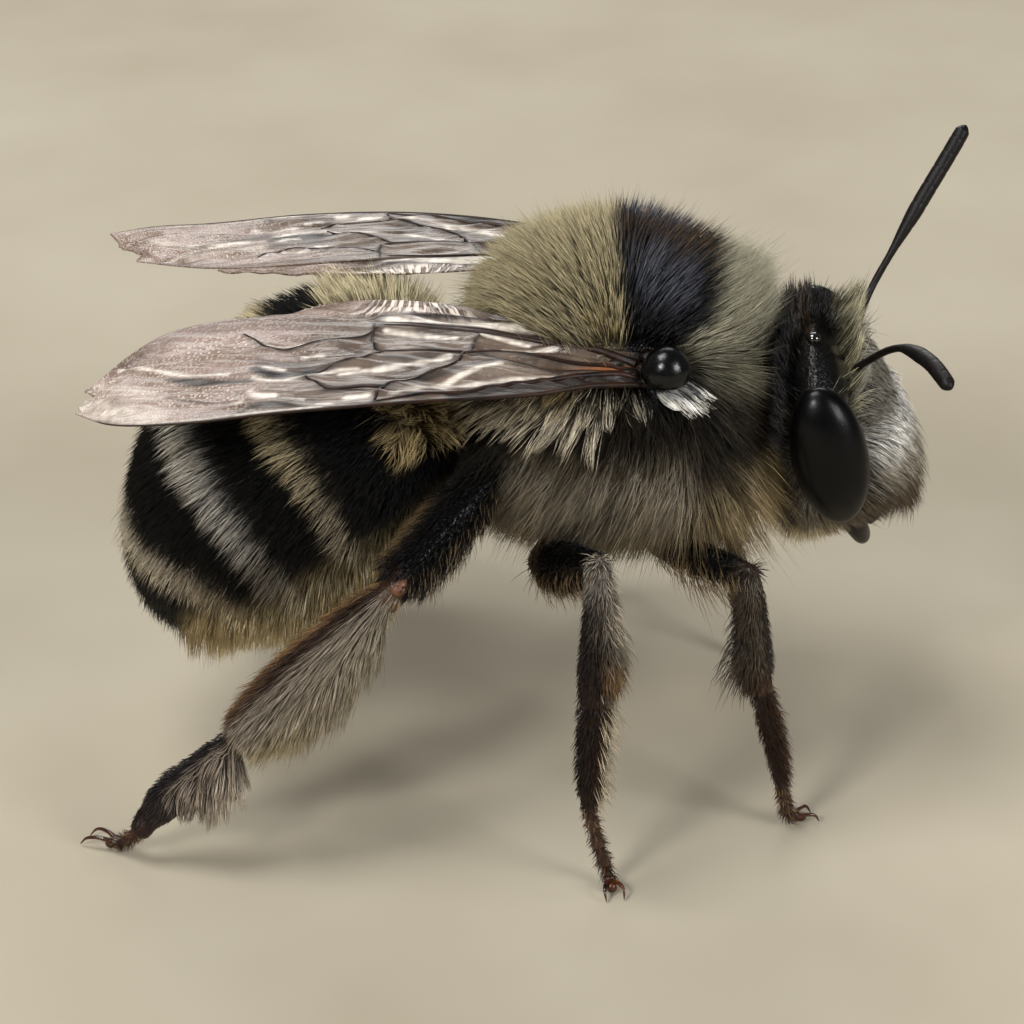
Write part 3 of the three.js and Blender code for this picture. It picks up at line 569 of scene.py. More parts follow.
# ---- one skin over trunk and legs ----------------------------------------------
shapes = [thorax.grid(64, 48), abdomen.grid(64, 48), head.grid(64, 48)]
shapes.append(Rod([[3.9, 0, 6.95], [4.6, 0, 6.98], [5.3, 0, 6.9]], lambda v: .75 + 0 * v).grid(24, 8))
shapes.append(Rod([[.1, 0, 6.9], [-.8, 0, 6.85], [-1.8, 0, 6.6]], lambda v: .7 + 0 * v).grid(24, 8))
for (side_name, leg, part), (inner, _) in limbs.items():
    shapes.append(inner.grid(16, 14))
    end = inner.k[-1]
    shapes.append(Ball(inner.b * [1, 1, 1], [max(end[1:]) * 1.04] * 3).grid(12, 8))
    if part == "femur":
        x, y, z = COXAE[leg]
        root = np.array([x, SIDES[side_name] * y, z])
        shapes.append(Rod([root, (root + inner.a) / 2 + [0, 0, -.05], inner.a], lambda v: .42 - .1 * v).grid(16, 8))
        shapes.append(Ball(inner.a, [.36] * 3).grid(12, 8))
points, faces = join(shapes)
rough_mesh = bpy.data.meshes.new("rough")
rough_mesh.from_pydata([tuple(p) for p in points], [], faces)
rough = bpy.data.objects.new("rough", rough_mesh)
bpy.context.scene.collection.objects.link(rough)
remesh = rough.modifiers.new("voxels", "REMESH")
remesh.mode, remesh.voxel_size = "VOXEL", .072
soften = rough.modifiers.new("soften", "SMOOTH")
soften.factor, soften.iterations = .5, 4
bpy.context.view_layer.update()
skin_mesh = bpy.data.meshes.new_from_object(rough.evaluated_get(bpy.context.evaluated_depsgraph_get()))
bpy.data.objects.remove(rough)
bpy.data.meshes.remove(rough_mesh)
skin_mesh.name = "skin"
count = len(skin_mesh.vertices)
skin_points = np.empty(count * 3, np.float32)
skin_mesh.vertices.foreach_get("co", skin_points)
skin_points = skin_points.reshape(-1, 3).astype(float)
SKIN = BVHTree.FromPolygons([Vector(p) for p in skin_points], [tuple(f.vertices) for f in skin_mesh.polygons])


def settle(p, far=.13):
    """Roots moved on to the skin, and which of them lie on it at all."""
    out, good = p.copy(), np.zeros(len(p), bool)
    for i in range(len(p)):
        place, _, _, d = SKIN.find_nearest(Vector(p[i]), far)
        if place is not None:
            out[i], good[i] = place, True
    return out, good


# ---- the wings' height, which presses the coat under them ----------------------
CELL, LOW = .05, np.array([-8.0, 0.0])
wing_height = np.full((240, 100), np.nan)
for front, back, t0, t1 in ((WING_FORE, WING_FOLD, 0, 1), (WING_FOLD, WING_INNER, .12, .8)):
    t = np.linspace(t0, t1, 700)
    a, b = curve(front, t), curve(back, t)
    for w in np.linspace(0, 1, 240):
        q = lerp(a, b, w)
        ij = ((q[:, :2] - LOW) / CELL).astype(int)
        wing_height[ij[:, 0], ij[:, 1]] = q[:, 2]


def under_wings(root, p):
    """Hair rooted below a wing stays below it."""
    ij = ((np.stack([p[:, 0], np.abs(p[:, 1])], 1) - LOW) / CELL).astype(int)
    good = (ij >= 0).all(1) & (ij[:, 0] < 240) & (ij[:, 1] < 100)
    top = np.full(len(p), np.nan)
    top[good] = wing_height[ij[good, 0], ij[good, 1]]
    press = ~np.isnan(top) & (root[:, 2] < top - .05) & (p[:, 2] > top - .09)
    p[press, 2] = top[press] - .09
    return p


# ---- hair ----------------------------------------------------------------------
def scatter(surface, count, rng, weight=None, v0=0., v1=1., nu=96, nv=72):
    """Even places on a surface, denser where the weight is higher."""
    du, dv = 1 / nu, (v1 - v0) / nv
    uu, vv = (x.ravel() for x in np.meshgrid((np.arange(nu) + .5) * du, v0 + (np.arange(nv) + .5) * dv, indexing="ij"))
    area = np.linalg.norm(np.cross(surface.at(uu + du / 2, vv) - surface.at(uu - du / 2, vv),
                                   surface.at(uu, vv + dv / 2) - surface.at(uu, vv - dv / 2)), axis=1)
    if weight is not None:
        p, n, _ = surface.frame(uu, vv)
        area = area * np.maximum(weight(p, n, uu, vv), 0)
    total = np.cumsum(area) / area.sum()
    pick = np.minimum(np.searchsorted(total, (np.arange(count) + rng.uniform(0, 1, count)) / count), len(area) - 1)
    return (uu[pick] + rng.uniform(-.5, .5, count) * du) % 1, np.clip(vv[pick] + rng.uniform(-.5, .5, count) * dv, 0, 1)


def on(n, w):
    """The direction of w laid on the surface."""
    w = np.broadcast_to(np.asarray(w, float), n.shape)
    return unit(w - n * (w * n).sum(1, keepdims=True))


def path(b, t):
    """Points at place t (0..1) of every hair."""
    p = b["root"] - b["n"] * .03 + b["L"][:, None] * (b["d0"] * (t - t * t / 2) + b["d1"] * (t * t / 2))
    p[:, 2] -= b["L"] * b["droop"] * t * t
    return p


def strands(rng, root, n, flow, length, lean0, lean1, width, segments, jitter=.12, droop=0.0, clump=.5, clump_size=.14, uv=None, group=None):
    """A batch of hairs: each leaves the skin at lean0 from its normal and ends at lean1, towards flow, with tips drawn together in locks.
    Hairs of one group are never drawn to those of another."""
    N = len(root)
    place = root if group is None else root + np.outer(group, [0, 0, 50.0])
    flow = unit(flow + rng.normal(0, jitter * 1.6, (N, 3)))
    b = {"root": root, "n": n, "L": length, "droop": np.broadcast_to(droop, (N,)).astype(float)}
    a0, a1 = (np.radians(np.broadcast_to(x, (N,)))[:, None] for x in (lean0, lean1))
    b["d0"] = unit(n * np.cos(a0) + flow * np.sin(a0) + rng.normal(0, jitter, (N, 3)))
    b["d1"] = unit(n * np.cos(a1) + flow * np.sin(a1) + rng.normal(0, jitter, (N, 3)))
    # each lock follows one of its own hairs
    area = max(N * .0012, 1)
    size = np.broadcast_to(clump_size, (N,))
    guides = rng.choice(N, max(int(N * min(.5, .03 * (.14 / float(size.mean())) ** 2 * 1.3)), 1), replace=False)
    tree = KDTree(len(guides))
    for k, g in enumerate(guides):
        tree.insert(Vector(place[g]), k)
    tree.balance()
    near = np.array([guides[tree.find(Vector(r))[1]] for r in place])
    clump = np.broadcast_to(clump, (N,))[:, None] * rng.uniform(.6, 1.1, (N, 1))
    far = np.linalg.norm(root - root[near], axis=1, keepdims=True)
    clump = clump * (1 - smooth(.25, .6, far))
    steps = {2: [0, .52, 1], 3: [0, .38, .74, 1], 4: [0, .3, .56, .8, 1]}[segments]
    lines = []
    for t in steps:
        p = path(b, t)
        p = p + (path({k: v[near] for k, v in b.items()}, t) - p) * clump * t ** 1.4
        if t > 0:
            p = under_wings(root, p)
        p[:, 2] = np.maximum(p[:, 2], .03)
        lines.append(p)
    lines = np.stack(lines, 1)
    axis = unit(lines[:, -1] - lines[:, 0])
    side = unit(np.cross(axis, n + rng.normal(0, .2, (N, 3))))
    other = np.cross(axis, side)
    rings = len(steps) - 1
    verts = np.empty((N, rings * 3 + 1, 3))
    taper = {2: [1, .78], 3: [1, .9, .6], 4: [1, .95, .8, .5]}[segments]
    for r in range(rings):
        for k in range(3):
            a = 2 * np.pi * k / 3
            verts[:, r * 3 + k] = lines[:, r] + (side * math.cos(a) + other * math.sin(a)) * (width * .5 * taper[r])[:, None]
    verts[:, -1] = lines[:, -1]
    tris = []
    for r in range(rings - 1):
        for k in range(3):
            a, c = r * 3 + k, r * 3 + (k + 1) % 3
            tris += [(a, c, c + 3), (a, c + 3, a + 3)]
    tip = rings * 3
    tris += [((rings - 1) * 3 + k, (rings - 1) * 3 + (k + 1) % 3, tip) for k in range(3)]
    ts = np.repeat(np.array(steps[:-1]), 3).tolist() + [1.0]
    return {"verts": verts, "tris": np.array(tris), "t": np.array(ts), "mid": lines[:, 1] * .35 + lines[:, -1] * .65, "root": root, "uv": uv,
            "luck": rng.uniform(0, 1, N)}


roots_seen, tints_seen = [], []


def coat(name, batches, material):
    """One coat piece from batches of hair, each with its colours."""
    points, tint, t, luck, tris, uvs, base = [], [], [], [], [], [], 0
    for b in batches:
        N, M = b["verts"].shape[:2]
        points.append(b["verts"].reshape(-1, 3))
        tint.append(np.repeat(b["tint"], M, 0))
        t.append(np.tile(b["t"], N))
        luck.append(np.repeat(b["luck"], M))
        tris.append((np.arange(N)[:, None, None] * M + b["tris"][None] + base).reshape(-1, 3))
        around = np.array(([-.0012, 0, .0012] * 8)[:M - 1] + [0])
        uvs.append(np.stack([b["uv"][:, :1] + around[None], b["uv"][:, 1:] + (b["t"][None] - .5) * .003], -1).reshape(-1, 2))
        base += N * M
        roots_seen.append(b["root"][::4])
        tints_seen.append(b["tint"][::4])
    points, tris = np.vstack(points) * MM, np.vstack(tris).astype(np.int32)
    mesh = bpy.data.meshes.new(name)
    mesh.vertices.add(len(points))
    mesh.vertices.foreach_set("co", points.astype(np.float32).ravel())
    mesh.loops.add(len(tris) * 3)
    mesh.loops.foreach_set("vertex_index", tris.ravel())
    mesh.polygons.add(len(tris))
    mesh.polygons.foreach_set("loop_start", np.arange(0, len(tris) * 3, 3, dtype=np.int32))
    mesh.update(calc_edges=True)
    mesh.attributes.new("tint", "FLOAT_COLOR", "POINT").data.foreach_set("color", np.column_stack([np.vstack(tint), np.ones(len(points))]).astype(np.float32).ravel())
    mesh.attributes.new("along", "FLOAT", "POINT").data.foreach_set("value", np.concatenate(t).astype(np.float32))
    mesh.attributes.new("luck", "FLOAT", "POINT").data.foreach_set("value", np.concatenate(luck).astype(np.float32))
    mesh.uv_layers.new(name="OFBake").data.foreach_set("uv", np.vstack(uvs)[tris.ravel()].astype(np.float32).ravel())
    mesh.materials.append(MATERIALS[material])
    mesh.shade_smooth()
    piece = bpy.data.objects.new(name, mesh)
    bpy.context.scene.collection.objects.link(piece)
    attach(piece, "root")
    print(name, len(tris), "triangles")
    return piece


def paintover(base, mask, colour):
    return base * (1 - mask[:, None]) + np.asarray(colour) * mask[:, None]


def keep(mask, *arrays):
    return [a[mask] for a in arrays]


def pick(b, mask):
    """The hairs of a batch that a mask chooses."""
    return {key: (value[mask] if key in ("verts", "mid", "root", "uv", "luck", "tint") else value) for key, value in b.items()}


def split(b, parts):
    """A batch cut into several by the place of its hairs in the list."""
    out = []
    for k in range(parts):
        s = slice(k, None, parts)
        out.append({key: (value[s] if key in ("verts", "mid", "root", "uv", "luck", "tint") else value) for key, value in b.items()})
    return out


BLACK, JET = srgb(17, 16, 17), srgb(10, 9, 10)


def thorax_hair(rng, count, kind="coat"):
    """kind is the coat, its longer loose hairs, or the heavy locks under the wing roots."""
    def locks(x, phi):
        fan = smooth(53, 57, phi) * (1 - smooth(74, 80, phi)) * smooth(-.80, -.55, x) * (1 - smooth(1.55, 1.8, x))
        tuft = smooth(61, 63, phi) * (1 - smooth(69, 71, phi)) * smooth(2.46, 2.54, x) * (1 - smooth(3.00, 3.12, x))
        gap = smooth(55, 58, phi) * (1 - smooth(68, 74, phi)) * smooth(1.55, 1.8, x) * (1 - smooth(2.26, 2.40, x))
        if kind == "lock":
            tuft = (tuft > .5) * 1.0
        return fan, tuft, gap

    def weight(p, n, u, v):
        if kind == "lock":
            fan, tuft, gap = locks(p[:, 0], np.degrees(np.arctan2(np.abs(p[:, 1]), p[:, 2] - 7.4)))
            return fan + 4.0 * tuft + .40 * gap + 1e-6
        return 1 - .35 * smooth(-.2, -.7, n[:, 2])
    u, v = scatter(thorax, count, rng, weight)
    p, n, _ = thorax.frame(u, v)
    p, good = settle(p)
    # the wing roots and scales stay bare
    scale = np.linalg.norm((np.stack([p[:, 0], np.abs(p[:, 1]), p[:, 2]], 1) - [2.62, 2.30, 8.75]) / [.50, .42, .42], axis=1)
    good &= scale > 1
    turn = np.degrees(np.arctan2(np.abs(p[:, 1]), p[:, 2] - 7.4))
    good &= ~((p[:, 0] > 1.45) & (p[:, 0] < 2.4) & (turn > 50) & (turn < 63) & (rng.uniform(0, 1, len(p)) < .85))
    if kind == "lock":
        good &= sum(locks(p[:, 0], turn)) > .3
    p, n, u, v = keep(good, p, n, u, v)
    y = np.abs(p[:, 1])
    s = np.sign(p[:, 1])
    phi = np.degrees(np.arctan2(y, p[:, 2] - 7.4))
    x, z = p[:, 0], p[:, 2]
    top, low = 1 - smooth(50, 72, phi), smooth(108, 136, phi)
    sides = 1 - top - low
    D = np.clip(reach("thorax", p, n), .35, 1.15)
    collar, rear = smooth(2.9, 3.9, x), smooth(.6, -.5, x)
    fan, tuft, gap = locks(x, phi)
    fan = np.maximum(fan, gap)
    neck = smooth(2.9, 3.5, x) * smooth(38, 60, phi) * (1 - smooth(116, 132, phi)) * (1 - tuft)
    col = lambda k: k[:, None]
    w = np.stack([(x - 1.9) * .45 * top - .45 * sides - .30 * low, s * .25 * sides, .30 * top - 1.0 * sides - .5 * low], 1)
    w = w * col(1 - np.clip(fan + tuft + neck, 0, 1)) + np.array([-.45, 0, 0]) * col(sides * smooth(84, 100, phi) * (1 - neck)) + np.array([0, 0, .45]) * col(collar * top) + col(neck) * np.stack([.8 + 0 * x, s * .1, -.55 - .6 * smooth(70, 95, phi)], 1)
    w = w + col(fan) * np.stack([(x - 1.75) * 1.05, s * .3, -1.10 + 0 * x], 1) + col(tuft) * np.stack([.95 + 0 * x, s * .3, -.78 + 0 * x], 1)
    flow = on(n, w)
    lean0 = 8 * top + 34 * sides + 18 * low + 8 * collar * top
    lean1 = (24 + 16 * rear + 14 * collar) * top + 64 * sides + 44 * low
    lean0 = lerp(lerp(lerp(lean0, 30, fan), 34, tuft), 36, neck)
    lean1 = lerp(lerp(lerp(lean1, 60, fan), 58, tuft), 62, neck)
    L = D / (.5 * (np.cos(np.radians(lean0)) + np.cos(np.radians(lean1)))) * rng.uniform(.80, 1.03, len(p))
    L = np.clip(L, .3, 1.4) * (1.05 + .28 * collar * top + .34 * smooth(2.6, 3.8, x) * (1 - smooth(22, 46, phi)) - .20 * rear * top)
    L = L * (1 - .30 * smooth(3.0, 3.6, x) * smooth(36, 50, phi) * (1 - smooth(92, 100, phi)))
    L = L * (1 + .15 * smooth(1.6, 2.0, x) * (1 - smooth(3.3, 3.8, x)) * (1 - smooth(22, 40, phi))) * (1 + .45 * neck * smooth(96, 106, phi))
    clump = .12 * top + .62 * sides + .45 * low
    wide = rng.uniform(.015, .021, len(p))
    under = smooth(60, 68, phi) * (1 - smooth(88, 98, phi)) * smooth(-.9, -.6, x) * (1 - smooth(3.4, 3.7, x))
    if kind == "coat":
        L = L * (1 - .42 * under)
    if kind == "guard":
        L, clump, wide = L * rng.uniform(1.08, 1.40, len(p)) * (1 + .14 * top * smooth(.2, -.6, x)), clump * .2, rng.uniform(.010, .014, len(p))
        lean0, lean1 = lean0 * .8, lean1 * .8
    if kind == "lock":
        L = lerp(1.22, .72, tuft) * rng.uniform(.70, 1.08, len(p)) * lerp(1, .62, gap)
        clump, wide = .97 + 0 * L, lerp(.018, .026, tuft) * rng.uniform(.85, 1.15, len(p))
    b = strands(rng, p, n, flow, L, lean0, lean1, wide, 3 if kind == "lock" else 2, jitter={"coat": .09, "guard": .14, "lock": .08}[kind],
                droop=.10 * sides + .12 * low, clump=clump, clump_size=.085 if kind == "lock" else .12, uv=np.stack([u, v], 1), group=tuft if kind == "lock" else None)
    m = lerp(p, b["mid"], .8)
    mx = m[:, 0] + ripple(m, .9, 3) * .05 + rng.normal(0, .05, len(m))
    mphi = np.degrees(np.arctan2(np.abs(m[:, 1]), m[:, 2] - 7.4)) + ripple(m, .7, 4) * 3
    front = np.interp(mphi, [0, 10, 33, 43, 49, 56, 62, 66], [3.72, 3.72, 3.64, 3.42, 3.08, 2.78, 2.52, 2.38])
    rim = np.interp(mphi, [0, 50], [1.80, 1.98])
    band = smooth(rim - .05, rim + .07, mx) * (1 - smooth(front - .08, front + .08, mx)) * (1 - smooth(66, 74, mphi))
    # black hair round the wing's root
    if kind != "lock":
        band = np.maximum(band, np.exp(-(((m[:, 0] - 2.6) / .62) ** 2 + ((m[:, 2] - 8.45) / .42) ** 2) ** 2) * smooth(48, 58, mphi))
    tone = lerp(srgb(148, 137, 106), srgb(158, 153, 130), smooth(2.6, 3.2, mx)[:, None])
    tone = lerp(tone, srgb(156, 136, 86), (smooth(30, 60, mphi) * smooth(1.0, 1.6, mx) * (1 - smooth(1.7, 1.9, mx)) * .7)[:, None])
    tone = tone * (1 - .45 * smooth(42, 60, mphi) * smooth(2.7, 3.1, mx))[:, None]
    # the collar darkens towards the head: painted shade in the neck between head and thorax
    neck_shade_edge = np.interp(mphi, [0, 20, 35, 50, 60], [4.85, 4.72, 4.45, 3.98, 3.62])
    tone = tone * (1 - .78 * smooth(neck_shade_edge - .22, neck_shade_edge + .10, mx))[:, None]
    tone = lerp(tone, srgb(92, 82, 66), smooth(62, 80, mphi)[:, None])
    tone = lerp(tone, srgb(152, 142, 124), (smooth(92, 108, mphi) * (1 - smooth(3.0, 3.4, mx)))[:, None])
    tone = tone * (1 + .55 * smooth(80, 96, mphi) * ripple(p * [1.8, 1.8, .35], .35, 51))[:, None]
    tone = lerp(tone, srgb(128, 116, 92), smooth(118, 134, mphi)[:, None])
    tone = lerp(tone, lerp(lerp(srgb(146, 140, 116), srgb(58, 54, 46), smooth(58, 80, mphi)[:, None]), srgb(178, 158, 120), smooth(104, 118, mphi)[:, None]), col(neck) * .85)
    tone = tone * (1 + .18 * ripple(m, .5, 5))[:, None]
    # the short coat under the fan locks is darkened: painted shade under the locks
    if kind != "lock":
        dusk = smooth(60, 68, mphi) * (1 - smooth(88, 98, mphi)) * smooth(-.9, -.6, mx) * (1 - smooth(3.5, 3.8, mx))
        tone = tone * (1 - .84 * dusk)[:, None]
    # the hair at the back and underside of the thorax, next to the abdomen, darkens to black: painted shade between
    # thorax and abdomen
    tone = tone * (1 - .85 * smooth(54, 64, mphi) * (1 - smooth(104, 116, mphi)) * (1 - smooth(-1.0, -.55, mx)))[:, None]
    tone = tone * (1 - .88 * smooth(78, 88, mphi) * (1 - smooth(120, 132, mphi)) * (1 - smooth(-.30, .20, mx)))[:, None]
    dark = np.exp(-(((m[:, 0] - 3.75) / .60) ** 2 + ((m[:, 2] - 6.9) / .66) ** 2)) * smooth(60, 80, mphi)
    tone = tone * (1 - .85 * dark)[:, None]
    if kind == "lock":
        tone = lerp(srgb(236, 225, 202), srgb(255, 252, 242), smooth(2.44, 2.50, p[:, 0])[:, None]) * (1 + .16 * ripple(m, .25, 6))[:, None]
        tone = lerp(tone, srgb(206, 178, 112), (np.exp(-((p[:, 0] - 1.15) / .28) ** 2) * (1 - smooth(60, 66, phi)))[:, None] * .8)
        tone = tone * (1 - .35 * gap)[:, None] * (1 - .55 * (1 - tuft) * (rng.uniform(0, 1, len(p)) < .35))[:, None] * rng.uniform(.75, 1.15, (len(p), 1))
    # bluish light flecks on the black band are painted highlights
    painted_gleam = np.exp(-((mphi - 24) / 11) ** 2) * smooth(1.9, 2.3, mx) * (1 - smooth(3.0, 3.4, mx)) * (1 + .5 * ripple(m * [3, .6, .6], .5, 52))
    black = lerp(np.tile(srgb(5, 5, 6), (len(m), 1)), srgb(92, 94, 104), np.clip(painted_gleam * (.35 + 1.3 * (rng.uniform(0, 1, len(m)) < .4)), 0, 1)[:, None] * .8)
    # brown hair on the crest: partly the hairs' own brown, partly painted backlight through the tips along the outline
    if kind != "lock":
        crest = (rng.uniform(0, 1, len(m)) < (.80 if kind == "guard" else .50)) * (1 - smooth(12, 28, mphi) if kind == "guard" else 1 - smooth(1, 10, mphi))
        black = lerp(black, srgb(104, 80, 54) if kind == "guard" else srgb(64, 49, 35), crest[:, None] * .9)
    b["tint"] = np.clip(tone * (1 - band[:, None]) + black * band[:, None], 0, 1)
    b["band"] = band * smooth(1.5, 1.7, p[:, 0])
    return b


def abdomen_bands(v, a):
    """1 where pale hair is rooted. v runs along the abdomen, a is 0 on top and 90 on the side."""
    k, e = smooth(35, 92, a), .006
    def band(start, end):
        return smooth(start - e, start + e, v) * (1 - smooth(end - e, end + e, v))
    edge = lerp(.262, .190, smooth(22, 62, a))
    first = (1 - smooth(edge - e, edge + e, v)) * (1 - smooth(72, 84, a))
    second = band(lerp(.356, .316, k), lerp(.388, .347, k))
    third = band(lerp(.486, .468, k), lerp(.522, .504, k))
    fourth = band(lerp(.692, .622, k), lerp(.740, .702, k))
    return first, second, third, fourth


def abdomen_hair(rng, count, kind="coat"):
    """kind is the coat, or the long silky hair of the pale bands and of the belly's fringe."""
    def weight(p, n, u, v):
        w = (1 - .3 * smooth(-.2, -.7, n[:, 2])) * (1 - .25 * (1 - smooth(1.8, 2.4, np.abs(p[:, 1]))) * (p[:, 2] > 7))
        if kind == "silk":
            a = np.abs((np.degrees(2 * np.pi * u) - 90 + 180) % 360 - 180)
            w = w * (np.clip(sum(abdomen_bands(v, a)), 0, 1) * 1.0 + .60 * smooth(100, 118, a) * smooth(.05, .1, v)) + 1e-6
        return w
    u, v = scatter(abdomen, count, rng, weight, v0=.02, nv=220 if kind == "silk" else 120)
    p, n, back = abdomen.frame(u, v)
    p, good = settle(p)
    p, n, back, u, v = keep(good, p, n, back, u, v)
    s = np.sign(p[:, 1])
    a = np.abs((np.degrees(2 * np.pi * u) - 90 + 180) % 360 - 180)
    early = 24 * smooth(.60, .78, v)
    under = smooth(98 - early, 120 - early, a)
    vj = v + ripple(p, .8, 11) * .004 + ripple(p, .22, 13) * .004 + rng.normal(0, .005, len(v))
    first, second, third, fourth = abdomen_bands(vj, a)
    pale = np.clip(first + second + third + fourth, 0, 1)
    ridge = (1 - smooth(20, 50, a)) * (1 - smooth(.36, .46, v))
    D = np.clip(reach("abdomen", p, n), .25, .95)
    D = lerp(D, np.minimum(D, .42) * .80, (1 - pale) * (1 - under))
    flow = on(n, back * 1.0 + np.stack([0 * v, s * .05, -.45 * smooth(40, 90, a)], 1) * (1 - under)[:, None] + np.array([.25, 0, -1.0]) * under[:, None])
    lean0 = lerp(44, 14, under) - 14 * first * (1 - under)
    lean1 = lerp(77, 34, under) - 18 * first * (1 - under)
    lean0, lean1 = lerp(lean0, 10, ridge * lerp(.7, 1, first)), lerp(lean1, 34, ridge * lerp(.7, 1, first))
    L = D / (.5 * (np.cos(np.radians(lean0)) + np.cos(np.radians(lean1)))) * rng.uniform(.78, 1.02, len(p))
    L = np.clip(L, .22, 1.2) * (1 - .18 * second - .28 * fourth)
    L = lerp(L, 1.08 * rng.uniform(.8, 1.1, len(p)), first * smooth(35, 60, a) * (1 - under))
    L = lerp(L, lerp(.62, .90, first) * rng.uniform(.75, 1.1, len(p)), ridge)
    L = L * (1 + .48 * under * smooth(.25, .5, v)) * (1 + .35 * smooth(.80, .90, v) * smooth(60, 90, a))
    wide = rng.uniform(.015, .021, len(p))
    clump = lerp(.25, .54, np.maximum(pale, under)) + .3 * first * (1 - ridge)
    if kind == "silk":
        L = np.clip(L * rng.uniform(1.0, 1.26, len(p)), .5, 1.45)
        lean0 = lean0 * .9
        wide, clump = rng.uniform(.012, .017, len(p)), clump * .6 + .35 * first * (1 - ridge)
    b = strands(rng, p, n, flow, L, lean0, lean1, wide, 3 if kind == "silk" else 2, jitter=.09, droop=.05 + .16 * under, clump=clump, clump_size=.13, uv=np.stack([u, v], 1))
    m = b["mid"]
    tone = np.tile(srgb(8, 7, 7), (len(v), 1))
    tone = paintover(tone, first, lerp(srgb(190, 178, 144), srgb(176, 156, 112), smooth(30, 60, a)[:, None]))
    # the second, third and fourth bands darken down the flank: painted shade on the side turned away from the light
    tone = paintover(tone, second, lerp(srgb(212, 197, 158), srgb(138, 127, 107), smooth(52, 90, a)[:, None]))
    tone = paintover(tone, third, lerp(lerp(srgb(222, 216, 201), srgb(204, 199, 189), smooth(20, 60, a)[:, None]), srgb(112, 104, 92), smooth(62, 96, a)[:, None]))
    tone = paintover(tone, fourth, lerp(srgb(206, 195, 174), srgb(166, 152, 128), smooth(60, 96, a)[:, None]))
    belly = under * smooth(.05, .10, v) * .94
    tone = paintover(tone, belly, lerp(srgb(206, 184, 138), srgb(240, 224, 184), (kind == "silk") * 1.0))
    b["tint"] = np.clip(tone * (1 + .15 * ripple(m, .5, 12))[:, None], 0, 1)
    return b


EYES = {s: Ball(EYE["at"], EYE["radii"], EYE["lean"], s) for s in (1, -1)}


